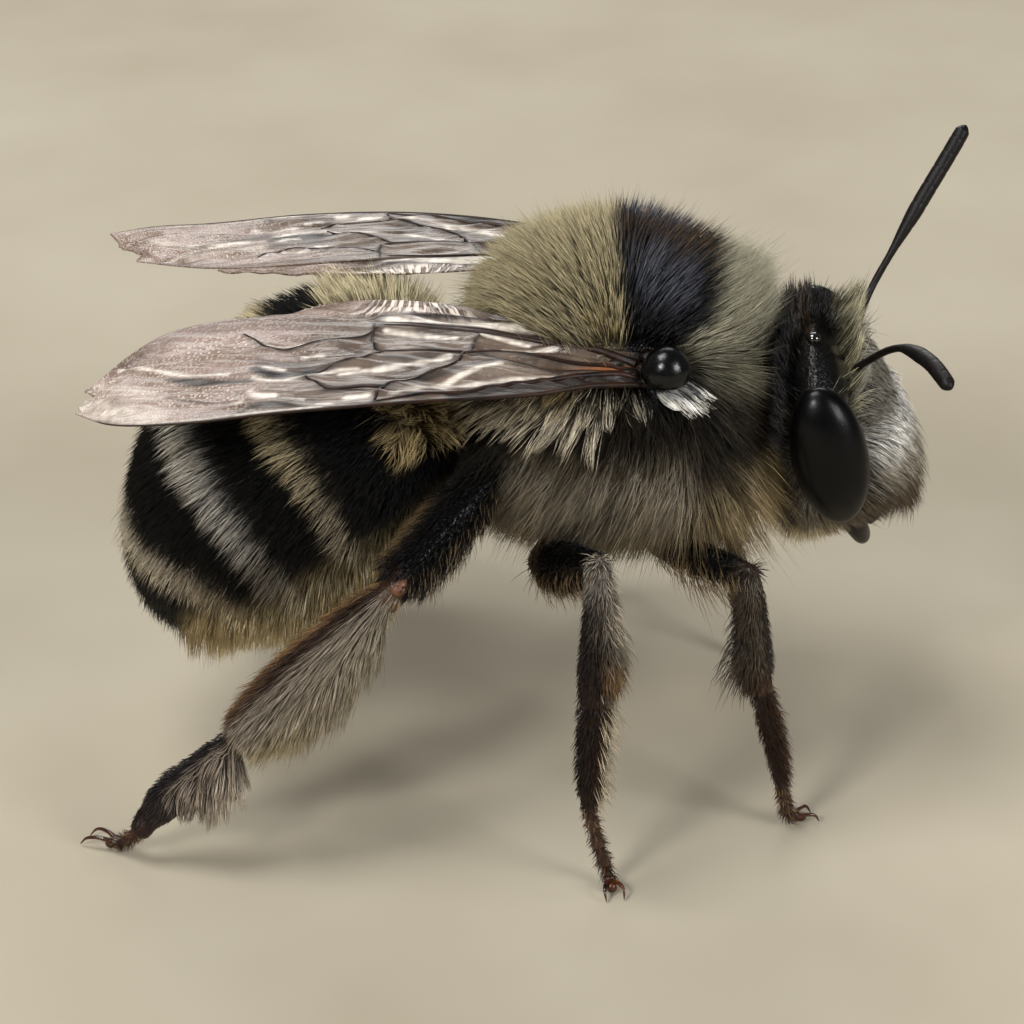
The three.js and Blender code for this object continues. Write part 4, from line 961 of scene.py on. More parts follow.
def head_hair(rng, count, kind="coat"):
    """kind is the short coat, or the longer loose hair of crown, face and chin."""
    def weight(p, n, u, v):
        w = 1 + .3 * smooth(6.2, 6.6, p[:, 0])
        if kind == "long":
            w = w * (.25 + 1.3 * smooth(5.9, 6.3, p[:, 0]) + smooth(7.8, 8.1, p[:, 2]) * .8 + smooth(5.9, 5.4, p[:, 2]) * .8)
        return w
    u, v = scatter(head_straight, count, rng, weight)
    p0, _, _ = head_straight.frame(u, v)
    p, n, _ = head.frame(u, v)
    x, a, z = p0[:, 0], np.abs(p0[:, 1]), p0[:, 2]
    s = np.sign(p0[:, 1])
    far_eye = np.minimum(EYES[1].inside(p0), EYES[-1].inside(p0))
    bare = np.hypot((x - 5.52) / .48, (a - 1.30) / .76) + 3 * (z < 7.6)
    q, good = settle(p)
    good &= (far_eye > 1.04) & ((bare > 1) | (rng.uniform(0, 1, len(x)) < .05))
    for cx, cy in ((5.36, .96), (5.36, -.96), (5.72, 0)):
        good &= np.hypot(x - cx, p0[:, 1] - cy) > .17
    # the jaws' sockets stay bare
    jaw = np.hypot((x - 6.12) / .28, (a - 1.0) / .36) + 3 * (z > 5.9)
    good &= jaw > 1
    p, n, u, v, x, a, z, s = keep(good, q, n, u, v, x, a, z, s)
    D = np.clip(reach("head", p, n), .15, 1.3)
    above = smooth(7.15, 7.55, z)
    vertex = smooth(7.3, 7.7, z) * (1 - smooth(5.52, 5.74, x + .12 * (a < .5) - .16 * smooth(8.25, 8.55, z)))
    frons = above * smooth(5.52, 5.74, x + .12 * (a < .5) - .16 * smooth(8.25, 8.55, z)) * (1 - smooth(6.04, 6.18, x))
    beard = 1 - smooth(5.35, 5.75, z)
    nape = (1 - smooth(5.05, 5.22, x)) * smooth(6.4, 6.9, z)
    vertex = vertex * (1 - nape)
    gena = (1 - smooth(5.25, 5.5, x)) * (1 - vertex) * (1 - beard) * (1 - nape)
    face = np.clip(1 - vertex - frons - beard - gena - nape, 0, 1)
    total = vertex + frons + beard + gena + face + nape
    vertex, frons, beard, gena, face, nape = (k / total for k in (vertex, frons, beard, gena, face, nape))
    col = lambda k: k[:, None]
    w = (col(vertex) * np.stack([-.25 + 0 * x, s * .2, 1.0 + 0 * x], 1) + col(frons) * np.stack([.42 + 0 * x, s * .12, 1.0 + 0 * x], 1)
         + col(face) * np.stack([1.0 + 0 * x, s * .06, lerp(-.58, .10, smooth(6.9, 7.5, z)) - .40 * smooth(6.5, 5.8, z)], 1)
         + col(gena) * np.stack([-.55 + 0 * x, s * .1, -1 + 0 * x], 1) + col(beard) * np.stack([lerp(-.3, .35, smooth(5.2, 5.8, x)), s * .1, -1 + 0 * x], 1)
         + col(nape) * np.stack([-.8 + 0 * x, s * .2, 1.0 + 0 * x], 1))
    flow = on(n, w)
    edge = face * smooth(1.2, 1.6, a)
    over = face * smooth(7.15, 7.45, z)
    lean0 = 14 * vertex + 14 * frons + (42 + 14 * edge) * face + 46 * gena + 22 * beard + 30 * nape + 16 * over
    lean1 = 34 * vertex + 30 * frons + 76 * face + 72 * gena + 45 * beard + 62 * nape + 6 * over
    L = D / (.5 * (np.cos(np.radians(lean0)) + np.cos(np.radians(lean1))))
    L = np.clip(L, .22, 1.25) * rng.uniform(.75, 1.02, len(p))
    L = lerp(L, rng.uniform(.70, 1.12, len(p)) * (1 - .25 * smooth(.7, 1.5, a)) * (1 - .26 * smooth(5.90, 6.15, x)) * .93, (frons > .5) * 1.0)
    brow = smooth(7.15, 7.45, z)
    L = lerp(L, np.clip(L, .50, 1.0) * lerp(1, 1.15, edge) * (1 - .70 * brow), (face > .5) * 1.0)
    throat = (1 - smooth(5.3, 5.6, x)) * (1 - smooth(6.0, 6.4, z))
    L = lerp(L, rng.uniform(.55, .90, len(p)), throat * .9)
    L = L * (1 - .12 * beard)
    L = lerp(L, rng.uniform(.45, .75, len(p)), (nape > .5) * 1.0)
    L = L * (1 - .52 * vertex * smooth(.8, 1.2, a)) * (1 - .50 * vertex * smooth(5.2, 5.4, x) * (1 - smooth(.5, .9, a)))
    wide = rng.uniform(.013, .018, len(p))
    clump = .20 + .48 * face + .2 * beard + .50 * frons
    if kind == "long":
        L, wide, clump = L * rng.uniform(1.05, 1.35, len(p)), rng.uniform(.010, .015, len(p)), clump * .7
    b = strands(rng, p, n, flow, L, lean0, lean1, wide, 3 if kind == "long" else 2, jitter=.09, droop=.08 * (1 - frons - vertex), clump=clump, clump_size=.12, uv=np.stack([u, v], 1))
    tone = (col(vertex) * srgb(15, 13, 12) + col(frons) * srgb(152, 146, 116) + col(face) * srgb(255, 252, 244) + col(gena) * srgb(84, 78, 68)
            + col(beard) * srgb(214, 197, 158) + col(nape) * srgb(14, 12, 11))
    m = b["mid"]
    rust = vertex * smooth(8.45, 8.75, z) * (rng.uniform(0, 1, len(x)) < .55) * (1 - smooth(5.25, 5.4, x))
    tone = lerp(tone, srgb(66, 50, 36), rust[:, None] * .9)
    tone = lerp(tone, srgb(104, 98, 78), (face * smooth(7.15, 7.5, z) * .85)[:, None])
    half = (1 - smooth(6.70, 7.02, z)) * face
    tone = lerp(tone, srgb(150, 138, 112), (half * (.55 + .45 * smooth(-.2, .2, ripple(p * [.6, 1.8, 1.8], .22, 24))))[:, None] * .92)
    low = (1 - smooth(6.12, 6.60, z)) * face
    tone = lerp(tone, srgb(92, 75, 50), (low * .92)[:, None])
    tone = tone * (1 - .4 * face * smooth(.2, .65, ripple(p * [.5, 1.6, 1.6], .25, 23)))[:, None]
    tone = lerp(tone, srgb(58, 41, 26), ((1 - smooth(5.5, 5.95, z)) * smooth(5.9, 6.2, x) * .9)[:, None])
    # patches of the frons are darkened: painted shade between its tufts
    tone = tone * (1 - .5 * (frons * smooth(.1, .5, ripple(p, .30, 22))))[:, None]
    rooty = face * smooth(1.3, 1.75, a) * (1 - smooth(6.1, 6.4, x))
    tone = lerp(tone, srgb(120, 110, 90), rooty[:, None] * .6)
    odd = (rng.uniform(0, 1, len(x)) < .18 * (frons + face))[:, None]
    tone = lerp(tone, srgb(34, 27, 22), odd * .9)
    b["tint"] = np.clip(tone * (1 + .16 * ripple(m, .35, 21))[:, None], 0, 1)
    return b


LEG_TONES = {
    # part: front or upper side, back or lower side, the rest
    ("hind", "femur"): (srgb(6, 5, 5), srgb(12, 10, 9), srgb(4, 4, 4)),
    ("hind", "tibia"): (srgb(164, 152, 130), srgb(84, 54, 32), srgb(156, 144, 126)),
    ("hind", "basitarsus"): (srgb(206, 192, 170), srgb(24, 16, 17), srgb(168, 152, 134)),
    ("mid", "femur"): (srgb(5, 4, 4), srgb(14, 11, 9), srgb(4, 4, 4)),
    ("mid", "tibia"): (srgb(142, 132, 116), srgb(26, 15, 11), srgb(84, 74, 64)),
    ("mid", "basitarsus"): (srgb(66, 46, 30), srgb(24, 13, 9), srgb(36, 21, 13)),
    ("fore", "femur"): (srgb(5, 5, 5), srgb(12, 10, 8), srgb(4, 4, 4)),
    ("fore", "tibia"): (srgb(50, 41, 32), srgb(82, 71, 56), srgb(92, 81, 65)),
    ("fore", "basitarsus"): (srgb(60, 38, 22), srgb(52, 32, 19), srgb(44, 27, 16)),
}
# long loose hair: how many, which side (1 front or up, -1 back or down), colour
LEG_FRINGE = {
    ("hind", "femur"): (340, 1, srgb(124, 106, 80)),
    ("mid", "femur"): (320, -1, srgb(116, 94, 62)),
    ("mid", "tibia"): (240, 1, srgb(196, 182, 156)),
    ("mid", "basitarsus"): (200, 1, srgb(190, 174, 144)),
    ("fore", "femur"): (260, -1, srgb(138, 116, 82)),
    ("fore", "tibia"): (300, -1, srgb(58, 47, 36)),
    ("fore", "basitarsus"): (140, 1, srgb(84, 54, 30)),
}
# how long the short hair stands against the outline of each part
LEG_PILE = {("hind", "femur"): .66, ("mid", "femur"): .48, ("mid", "tibia"): .72, ("mid", "basitarsus"): .42,
            ("fore", "femur"): .16, ("fore", "tibia"): .30, ("fore", "basitarsus"): .55}


def limb_hair(rng, key, count, tile, fringe=False):
    side_name, leg, part = key
    inner, outer_ = limbs[key]
    scopa = leg == "hind" and part != "femur"
    side_of = LEG_FRINGE[leg, part][1] if fringe else 0

    def weight(p, n, uu, vv):
        w = .35 + np.clip(np.linalg.norm(outer_.at(uu, vv) - inner.at(uu, vv), axis=1), 0, .8) * (1.6 if scopa else .5)
        return w * smooth(.2, .8, side_of * np.cos(2 * np.pi * uu)) + 1e-6 if fringe else w
    u, v = scatter(inner, count, rng, weight, v0=.0, v1=.98, nu=40, nv=40)
    p, n, _ = inner.frame(u, v)
    D = np.linalg.norm(outer_.at(u, v) - p, axis=1)
    q, good = settle(p, .09)
    p, n, u, v, D = keep(good, q, n, u, v, D)
    N = len(p)
    c = np.cos(2 * np.pi * u)
    plus, minus = smooth(.15, .75, c), smooth(-.15, -.75, c)
    if not (scopa or fringe):
        D = np.where(D > .14, .14 + (D - .14) * LEG_PILE[leg, part], D)
    long = smooth(.25, .6, D)
    w = np.tile(inner.dir, (N, 1))
    if leg == "hind" and part == "tibia":
        w = w + np.array([-.20, 0, -.35]) * plus[:, None]
    brush = smooth(-.55, .2, c) * (1 - smooth(.54, .80, v)) if leg == "hind" and part == "basitarsus" else 0 * c
    w = w + np.array([.35, 0, -1.0]) * brush[:, None]
    if part == "femur":
        w = w + np.array([0, 0, -.5]) * minus[:, None]
    flow = on(n, w)
    lean0, lean1 = lerp(50, 28, long), lerp(74, 56, long)
    if leg == "hind" and part == "tibia":
        lean0, lean1 = lerp(58, 38, long), lerp(78, 68, long)
    if fringe:
        lean0, lean1 = rng.uniform(8, 40, N), rng.uniform(44, 76, N)
    L = D / (.5 * (np.cos(np.radians(lean0)) + np.cos(np.radians(lean1)))) * rng.uniform(.7, 1.0, N)
    L = np.clip(L, .10, 1.45)
    wide = lerp(rng.uniform(.014, .019, N), rng.uniform(.013, .019, N), long)
    clump = .20 + .25 * long
    if fringe:
        L = np.clip(L * rng.uniform(.70, 1.35, N), .3, 1.4) * (1.35 if part == "femur" and leg != "hind" else 1.6 if (leg, part) == ("mid", "basitarsus") else 1)
        wide, clump = rng.uniform(.011, .016, N), .20 + 0 * L
    if leg == "hind" and part == "basitarsus":
        clump = lerp(.3, .8, brush)
        L = L * lerp(.8, 1.25, brush)
    if scopa:
        L = L * np.where(rng.uniform(0, 1, N) < .08, 1.22, 1.0)
    tile_uv = np.stack([(tile % 6 + .04 + .92 * u) / 6, (tile // 6 + .04 + .92 * v) / 6], 1)
    b = strands(rng, p, n, flow, L, lean0, lean1, wide, 3 if scopa or fringe else 2, jitter=.07 if scopa else .10, droop=.06 + .08 * long,
                clump=clump, clump_size=.13, uv=tile_uv)
    front, rear, rest = LEG_TONES[leg, part]
    tone = paintover(paintover(np.tile(rest, (N, 1)), plus, front), minus, rear)
    m = b["mid"]
    if leg == "hind" and part == "tibia":
        edge = smooth(-.80, -.95, c) * (.65 + .35 * ripple(m, .5, 37))
        tone = lerp(tone, srgb(176, 138, 88), np.clip(edge, 0, 1)[:, None] * .85)
        line = np.exp(-((c + .62) / .22) ** 2) * (1 - smooth(.55, .8, v))
        tone = lerp(tone, srgb(44, 26, 16), line[:, None] * .85)
        tone = lerp(tone, srgb(196, 180, 134), (plus * smooth(.45, .8, v) * smooth(.5, 1, c))[:, None] * .7)
    if leg == "hind" and part == "basitarsus":
        stripe = smooth(-.25, .45, ripple(p, .22, 39))
        stripe = np.clip(.75 * stripe + .8 * (rng.uniform(0, 1, N) < .22), 0, 1)
        tone = lerp(tone, srgb(62, 47, 41), (brush * stripe)[:, None] * .8)
        tone = lerp(tone, srgb(26, 17, 18), np.clip(smooth(.53, .72, v) + smooth(-.35, -.6, c), 0, 1)[:, None] * .95)
    if leg == "mid" and part == "femur":
        tone = lerp(tone, srgb(96, 76, 50), (smooth(.25, .05, v) * .6)[:, None])
        tone = lerp(tone, srgb(110, 96, 80), (smooth(.88, .98, v) * smooth(0, .6, c))[:, None])
    if leg == "hind" and part == "femur":
        tone = lerp(tone, srgb(150, 126, 88), (smooth(-.84, -.97, c) * smooth(.30, .45, v) * (1 - smooth(.75, .85, v)))[:, None] * .7)
    if leg == "mid" and part == "tibia":
        tone = lerp(tone, srgb(160, 152, 140), smooth(.35, .05, v)[:, None] * .85)
        tone = lerp(tone, srgb(34, 19, 13), (smooth(.42, .62, v) * (1 - .6 * plus))[:, None] * .9)
        tone = lerp(tone, srgb(140, 106, 60), (smooth(.55, .68, v) * (1 - smooth(.85, .95, v)) * plus)[:, None] * .7)
    if leg == "fore" and part == "tibia":
        tone = lerp(tone, srgb(140, 130, 116), smooth(.16, .02, v)[:, None] * .8)
        tone = lerp(tone, srgb(84, 58, 34), smooth(.78, .95, v)[:, None] * .8)
    if fringe:
        tone = np.tile(LEG_FRINGE[leg, part][2], (N, 1)) * rng.uniform(.7, 1.1, (N, 1))
        if leg == "mid" and part == "tibia":
            tone = lerp(tone, srgb(30, 22, 17), (rng.uniform(0, 1, N) < .25 + .5 * smooth(.4, .7, v))[:, None] * .9)
    b["tint"] = np.clip(tone * (1 + .18 * ripple(m, .35, 31))[:, None], 0, 1)
    return b


def foot_path(side_name, leg):
    hip, knee, ankle, heel, toe, claw = (np.array(q) for q in LEGS[side_name][leg])
    bend = np.array([*(heel[:2] * .6 + toe[:2] * .4), heel[2] * .55 + toe[2] * .45])
    tip = lerp(toe, claw, .35) * [1, 1, 0] + [0, 0, .17]
    return heel, bend, toe, tip, claw, ankle


def foot_hair(rng, side_name, leg, count, tile):
    """Short bristles on the small joints of a foot."""
    heel, bend, toe, tip, claw, ankle = foot_path(side_name, leg)
    rod = Rod([heel, bend, toe + [0, 0, .02], tip], lambda v: .095 + 0 * v)
    u, v = scatter(rod, count, rng, v1=.96)
    p, n, down = rod.frame(u, v)
    down = unit((rod.at(u, np.minimum(v + .03, 1)) - rod.at(u, np.maximum(v - .03, 0))))
    flow = on(n, down)
    L = rng.uniform(.12, .26, len(p)) * (1 - .3 * smooth(.7, .95, v))
    b = strands(rng, p, n, flow, L, 32, 62, rng.uniform(.012, .017, len(p)), 2, jitter=.12, clump=.1,
                uv=np.stack([(tile % 6 + .04 + .92 * u) / 6, (tile // 6 + .04 + .92 * v) / 6], 1))
    pale = (rng.uniform(0, 1, len(p)) < .22)[:, None]
    b["tint"] = lerp(np.tile(srgb(62, 36, 22), (len(p), 1)), srgb(150, 122, 84), pale * 1.0)
    return b


def knee_hair(rng, side_name, leg, count, tile):
    """Short hair over a knee, lying down the shin."""
    hip, knee, ankle = (np.array(q) for q in LEGS[side_name][leg][:3])
    ball = Ball(knee, [LEG_SKIN[leg]["tibia"][0][1] + .05] * 3)
    u, v = scatter(ball, count, rng)
    p, n, _ = ball.frame(u, v)
    q, good = settle(p, .12)
    p, n, u, v = keep(good, q, n, u, v)
    flow = on(n, ankle - knee)
    b = strands(rng, p, n, flow, rng.uniform(.16, .34, len(p)), 40, 66, rng.uniform(.013, .018, len(p)), 2, jitter=.12, clump=.2,
                uv=np.stack([(tile % 6 + .04 + .92 * u) / 6, (tile // 6 + .04 + .92 * v) / 6], 1))
    base = srgb(176, 166, 150) if leg == "mid" else srgb(70, 60, 50)
    b["tint"] = lerp(np.tile(base, (len(p), 1)), srgb(26, 18, 14), (rng.uniform(0, 1, len(p)) < .35)[:, None] * .9)
    return b


scale = 1.0


def n_of(k):
    return int(k * scale)


rng = np.random.default_rng(7)
hair = thorax_hair(rng, n_of(39500))
for k, b in enumerate(split(pick(hair, hair["band"] < .5), 2)):
    coat(f"coat_thorax_{k + 1}", [b], "coat")
coat("coat_thorax_black", [pick(hair, hair["band"] >= .5)], "coat_black")
coat("coat_thorax_long", [thorax_hair(rng, n_of(5400), "guard")], "coat")
coat("coat_thorax_tufts", [thorax_hair(rng, n_of(3500), "lock")], "coat_bright")
for k, b in enumerate(split(abdomen_hair(rng, n_of(35500)), 2)):
    coat(f"coat_abdomen_{k + 1}", [b], "coat")
coat("coat_abdomen_long", [abdomen_hair(rng, n_of(7600), "silk")], "coat")
coat("coat_head", [head_hair(rng, n_of(24000))], "coat_face")
coat("coat_head_long", [head_hair(rng, n_of(3600), "long")], "coat_face")
tile = 0
for side_name in SIDES:
    legs_batch, scopa_batch, fringe_batch = [], [], []
    share = 1.0 if side_name == "right" else .5
    for (sn, leg, part) in limbs:
        if sn != side_name:
            continue
        number = {("hind", "tibia"): 5000, ("hind", "basitarsus"): 1900, ("hind", "femur"): 2600, ("mid", "femur"): 2000, ("mid", "tibia"): 1900,
                  ("mid", "basitarsus"): 1200, ("fore", "femur"): 1200, ("fore", "tibia"): 1400, ("fore", "basitarsus"): 1000}[leg, part]
        b = limb_hair(rng, (sn, leg, part), n_of(number * share), tile)
        (scopa_batch if leg == "hind" and part != "femur" else legs_batch).append(b)
        if (leg, part) in LEG_FRINGE:
            fringe_batch.append(limb_hair(rng, (sn, leg, part), n_of(LEG_FRINGE[leg, part][0] * min(share * 1.3, 1)), tile, True))
        tile += 1
    for leg in ("fore", "mid"):
        legs_batch.append(knee_hair(rng, side_name, leg, n_of(190), 24 + tile // 18 * 2 + (leg == "mid")))
    for leg in ("fore", "mid", "hind"):
        legs_batch.append(foot_hair(rng, side_name, leg, n_of({"fore": 330, "mid": 520, "hind": 300}[leg]), 18 + tile // 18 * 3 + ("fore", "mid", "hind").index(leg)))
    coat(f"coat_legs_{side_name}", legs_batch, "coat_leg")
    coat(f"coat_legs_long_{side_name}", fringe_batch, "coat_leg")
    coat(f"scopa_{side_name}", scopa_batch, "scopa")

# ---- the skin piece, tinted from the coat's colours: its markings and its painted shade and highlights ---
roots_all, tints_all = np.vstack(roots_seen), np.vstack(tints_seen)
tree = KDTree(len(roots_all))
for k, r in enumerate(roots_all):
    tree.insert(Vector(r), k)
tree.balance()
skin_tint = np.empty((count, 3))
cuticle = srgb(17, 15, 14)
for i in range(count):
    _, k, d = tree.find(Vector(skin_points[i]))
    f = min(max((d - .15) / .2, 0), 1)
    skin_tint[i] = tints_all[k] * .3 * (1 - f) + cuticle * f
for side_name in SIDES:
    for leg in ("fore", "mid", "hind"):
        hip, knee, ankle, heel, toe, claw = (np.array(q) for q in LEGS[side_name][leg])
        for place, size, colour, strength in ((knee, .36, srgb(78, 46, 27) if leg == "hind" else srgb(50, 36, 27), .8 if leg == "hind" else .6), (ankle, .26, srgb(62, 38, 22), .7), (heel, .4, srgb(60, 36, 22), .8)):
            f = np.clip(1.25 - np.linalg.norm(skin_points - place, axis=1) / size, 0, 1) * strength
            skin_tint = paintover(skin_tint, f, colour)
        for a, b, colour in ((ankle, heel, srgb(30, 18, 18) if leg == "hind" else srgb(50, 30, 19)),):
            t = np.clip(((skin_points - a) @ (b - a)) / ((b - a) @ (b - a)), 0, 1)
            d = np.linalg.norm(skin_points - (a + (b - a) * t[:, None]), axis=1)
            skin_tint = paintover(skin_tint, np.clip(1.6 - d / .3, 0, 1) * .6, colour)
crown = np.clip(1.5 - np.linalg.norm((np.stack([skin_points[:, 0], np.abs(skin_points[:, 1]), skin_points[:, 2]], 1) - [5.5, 1.25, 8.0]) / [.42, .85, .6], axis=1), 0, 1)
skin_tint = paintover(skin_tint, crown, srgb(11, 10, 10))
root = np.clip(1.6 - np.linalg.norm((np.stack([skin_points[:, 0], np.abs(skin_points[:, 1]), skin_points[:, 2]], 1) - [2.55, 2.2, 8.55]) / [.8, .6, .6], axis=1), 0, 1)
skin_tint = paintover(skin_tint, root, srgb(8, 7, 7))
malar = np.clip(1.6 - np.linalg.norm((np.stack([skin_points[:, 0], np.abs(skin_points[:, 1]), skin_points[:, 2]], 1) - [6.05, 1.1, 5.4]) / [.5, .6, .5], axis=1), 0, 1)
skin_tint = paintover(skin_tint, malar, srgb(34, 20, 13))
skin_mesh.attributes.new("tint", "FLOAT_COLOR", "POINT").data.foreach_set("color", np.column_stack([skin_tint, np.ones(count)]).astype(np.float32).ravel())
skin_mesh.vertices.foreach_set("co", (skin_points * MM).astype(np.float32).ravel())
skin_mesh.update()
skin_mesh.materials.clear()
skin_mesh.materials.append(MATERIALS["skin"])
skin_mesh.shade_smooth()
skin = bpy.data.objects.new("skin", skin_mesh)
bpy.context.scene.collection.objects.link(skin)
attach(skin, "root")
flesh = ["thorax", "head"] + [f"abdomen_{k}" for k in range(1, 7)]
flesh += [f"{leg}leg_{side_name}_{part}" for side_name in SIDES for leg in ("fore", "mid", "hind") for part in ("femur", "tibia", "basitarsus")]
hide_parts(*flesh)

# ---- eyes, ocelli, wing scales -------------------------------------------------
for side_name, side in SIDES.items():
    make(f"compound_eye_{side_name}", *solid(Ball(EYE["at"], EYE["radii"], EYE["lean"], side, turn_head), 72, 56), MATERIALS["eye"], "eye", [f"eye_{side_name}"])
    scale_ball = Ball(TEGULA["at"], TEGULA["radii"], 0, side)
    p, f = scale_ball.grid(48, 32)
    q = p - scale_ball.c
    rim = np.abs(q[:, 2]) < .12
    p = p + np.where(rim, .0, 0)[:, None]
    p[:, 2] -= .10 * ((q[:, 0] / .5) ** 2) + .06 * np.clip(side * q[:, 1] / .42, 0, 1) ** 2
    make(f"wing_scale_{side_name}", p, outward(p, f), MATERIALS["tegula"], "cuticle", [f"tegula_{side_name}"])
lenses = []
for x, y in ((5.36, .96), (5.36, -.96), (5.72, 0)):
    hit = SKIN.ray_cast(Vector(turn_head(np.array([x, y, 12.0]))), Vector((0, 0, -1)), 8)
    z = hit[0][2]
    at = turn_head(np.array([x, y, z + .03]))
    lenses.append(solid(Ball(at, [.135, .135, .11]), 24, 16))
make("ocelli", *join(lenses), MATERIALS["ocellus"], "eye")

# ---- feelers -------------------------------------------------------------------
for side_name, side in SIDES.items():
    keys = [list(k) for k in FEELERS[side_name]]
    keys[0] = [keys[0][0] + .05, side * .78, 8.0]
    start = np.array(keys[0])
    base = turn_head(np.array([6.42, side * .55, 7.3]))
    scape = Rod([base, (base + start) / 2 + [.08, side * .05, .05], start, lerp(start, np.array(keys[1]), .25)],
                lambda v: .10 + .03 * smooth(.1, .6, v) - .055 * smooth(.8, 1, v))
    thin = .62 if side < 0 else .46

    def ringed(v, thin=thin):
        k = (v * 12) % 1
        body = .066 + .078 * smooth(thin - .10, thin + .12, v) - .012 * smooth(.90, 1, v)
        return body * (1 - .045 * np.exp(-(np.minimum(k, 1 - k) / .06) ** 2)) * np.sqrt(np.clip((1 - v) / .035, .03, 1))
    whip = Rod(keys, ringed, count=200)
    make(f"feeler_{side_name}", *join([solid(scape, 18, 24), solid(whip, 18, 176)]), MATERIALS["feeler"], "feeler", [f"antenna_{side_name}"])

# ---- mouthparts ----------------------------------------------------------------
for name, (keys, r0, r1, flat) in MOUTH.items():
    blade = Rod(keys, lambda v, r0=r0, r1=r1: (r0 * (1 - .86 * v ** 1.15) + .02) * np.sqrt(np.clip(1 - (np.maximum(v - .9, 0) / .1) ** 2.5, .02, 1)) * (.94 + .06 * np.cos(v * 9)), flat, turn_head)
    make(f"jaw_{name}", *solid(blade, 24, 24), MATERIALS["jaw"], "cuticle", [name])

# ---- bare plates at the hind knees ----------------------------------------------
for side_name, side in SIDES.items():
    knee, ankle = (np.array(LEGS[side_name]["hind"][k]) for k in (1, 2))
    shaft = unit(ankle - knee)
    out_ = np.array([0, side * 1.0, 0])
    lobes = []
    for q, r in ((knee + out_ * .15 + shaft * .04 + [.10, 0, .06], [.16, .11, .12]), (knee + out_ * .17 + shaft * .20 + [-.06, 0, -.02], [.12, .08, .18]), (knee + out_ * .14 + shaft * .24 + [.13, 0, -.10], [.10, .07, .14]),
                 (knee + out_ * .08 - shaft * .12, [.18, .16, .16])):
        lobes.append(solid(Ball(q, r), 28, 20))
    make(f"knee_{side_name}", *join(lobes), MATERIALS["knee"], "cuticle")

# ---- feet: small joints, two claws and a pad -----------------------------------
for side_name, side in SIDES.items():
    for leg in ("fore", "mid", "hind"):
        heel, bend, toe, tip, claw, ankle = foot_path(side_name, leg)
        ends = [0, .22, .40, .56, 1.0]

        def beads(v):
            r = np.zeros_like(v)
            for k in range(4):
                f = np.clip((v - ends[k]) / (ends[k + 1] - ends[k]), 0, 1)
                inside = (v >= ends[k]) & (v <= ends[k + 1])
                r = np.where(inside, .078 + .055 * f ** 1.4 * (1 - .9 * smooth(.93, 1, f)) - (.012 if k == 3 else 0), r)
            return r
        foot = Rod([heel + (heel - ankle) * 0.0, bend, toe + [0, 0, .02], tip], beads, count=120)
        parts = [solid(foot, 14, 72)]
        make(f"tarsus_{leg}_{side_name}", *join(parts), MATERIALS["foot"], "foot", [f"{leg}leg_{side_name}_tarsus"])
        ahead = unit((claw - toe) * [1, 1, 0])
        across = np.array([-ahead[1], ahead[0], 0])
        hooks = []
        k = 1.9 if leg == "hind" else 1.15
        for s in (1, -1):
            hook = Rod([tip + across * s * .03 - ahead * .06, tip + ahead * .12 * k + across * s * .12 + [0, 0, .05 * k], tip + ahead * .26 * k + across * s * .17 + [0, 0, .02 * k],
                        tip + ahead * .34 * k + across * s * .16 + [0, 0, -.135]],
                       lambda v: .046 * (1 - v) ** .7 + .006, count=40)
            hooks.append(solid(hook, 10, 20))
        hooks.append(solid(Ball(tip + ahead * .10 + [0, 0, -.05], [.10, .07, .09]), 16, 10))
        make(f"claws_{leg}_{side_name}", *join(hooks), MATERIALS["claw"], "foot")


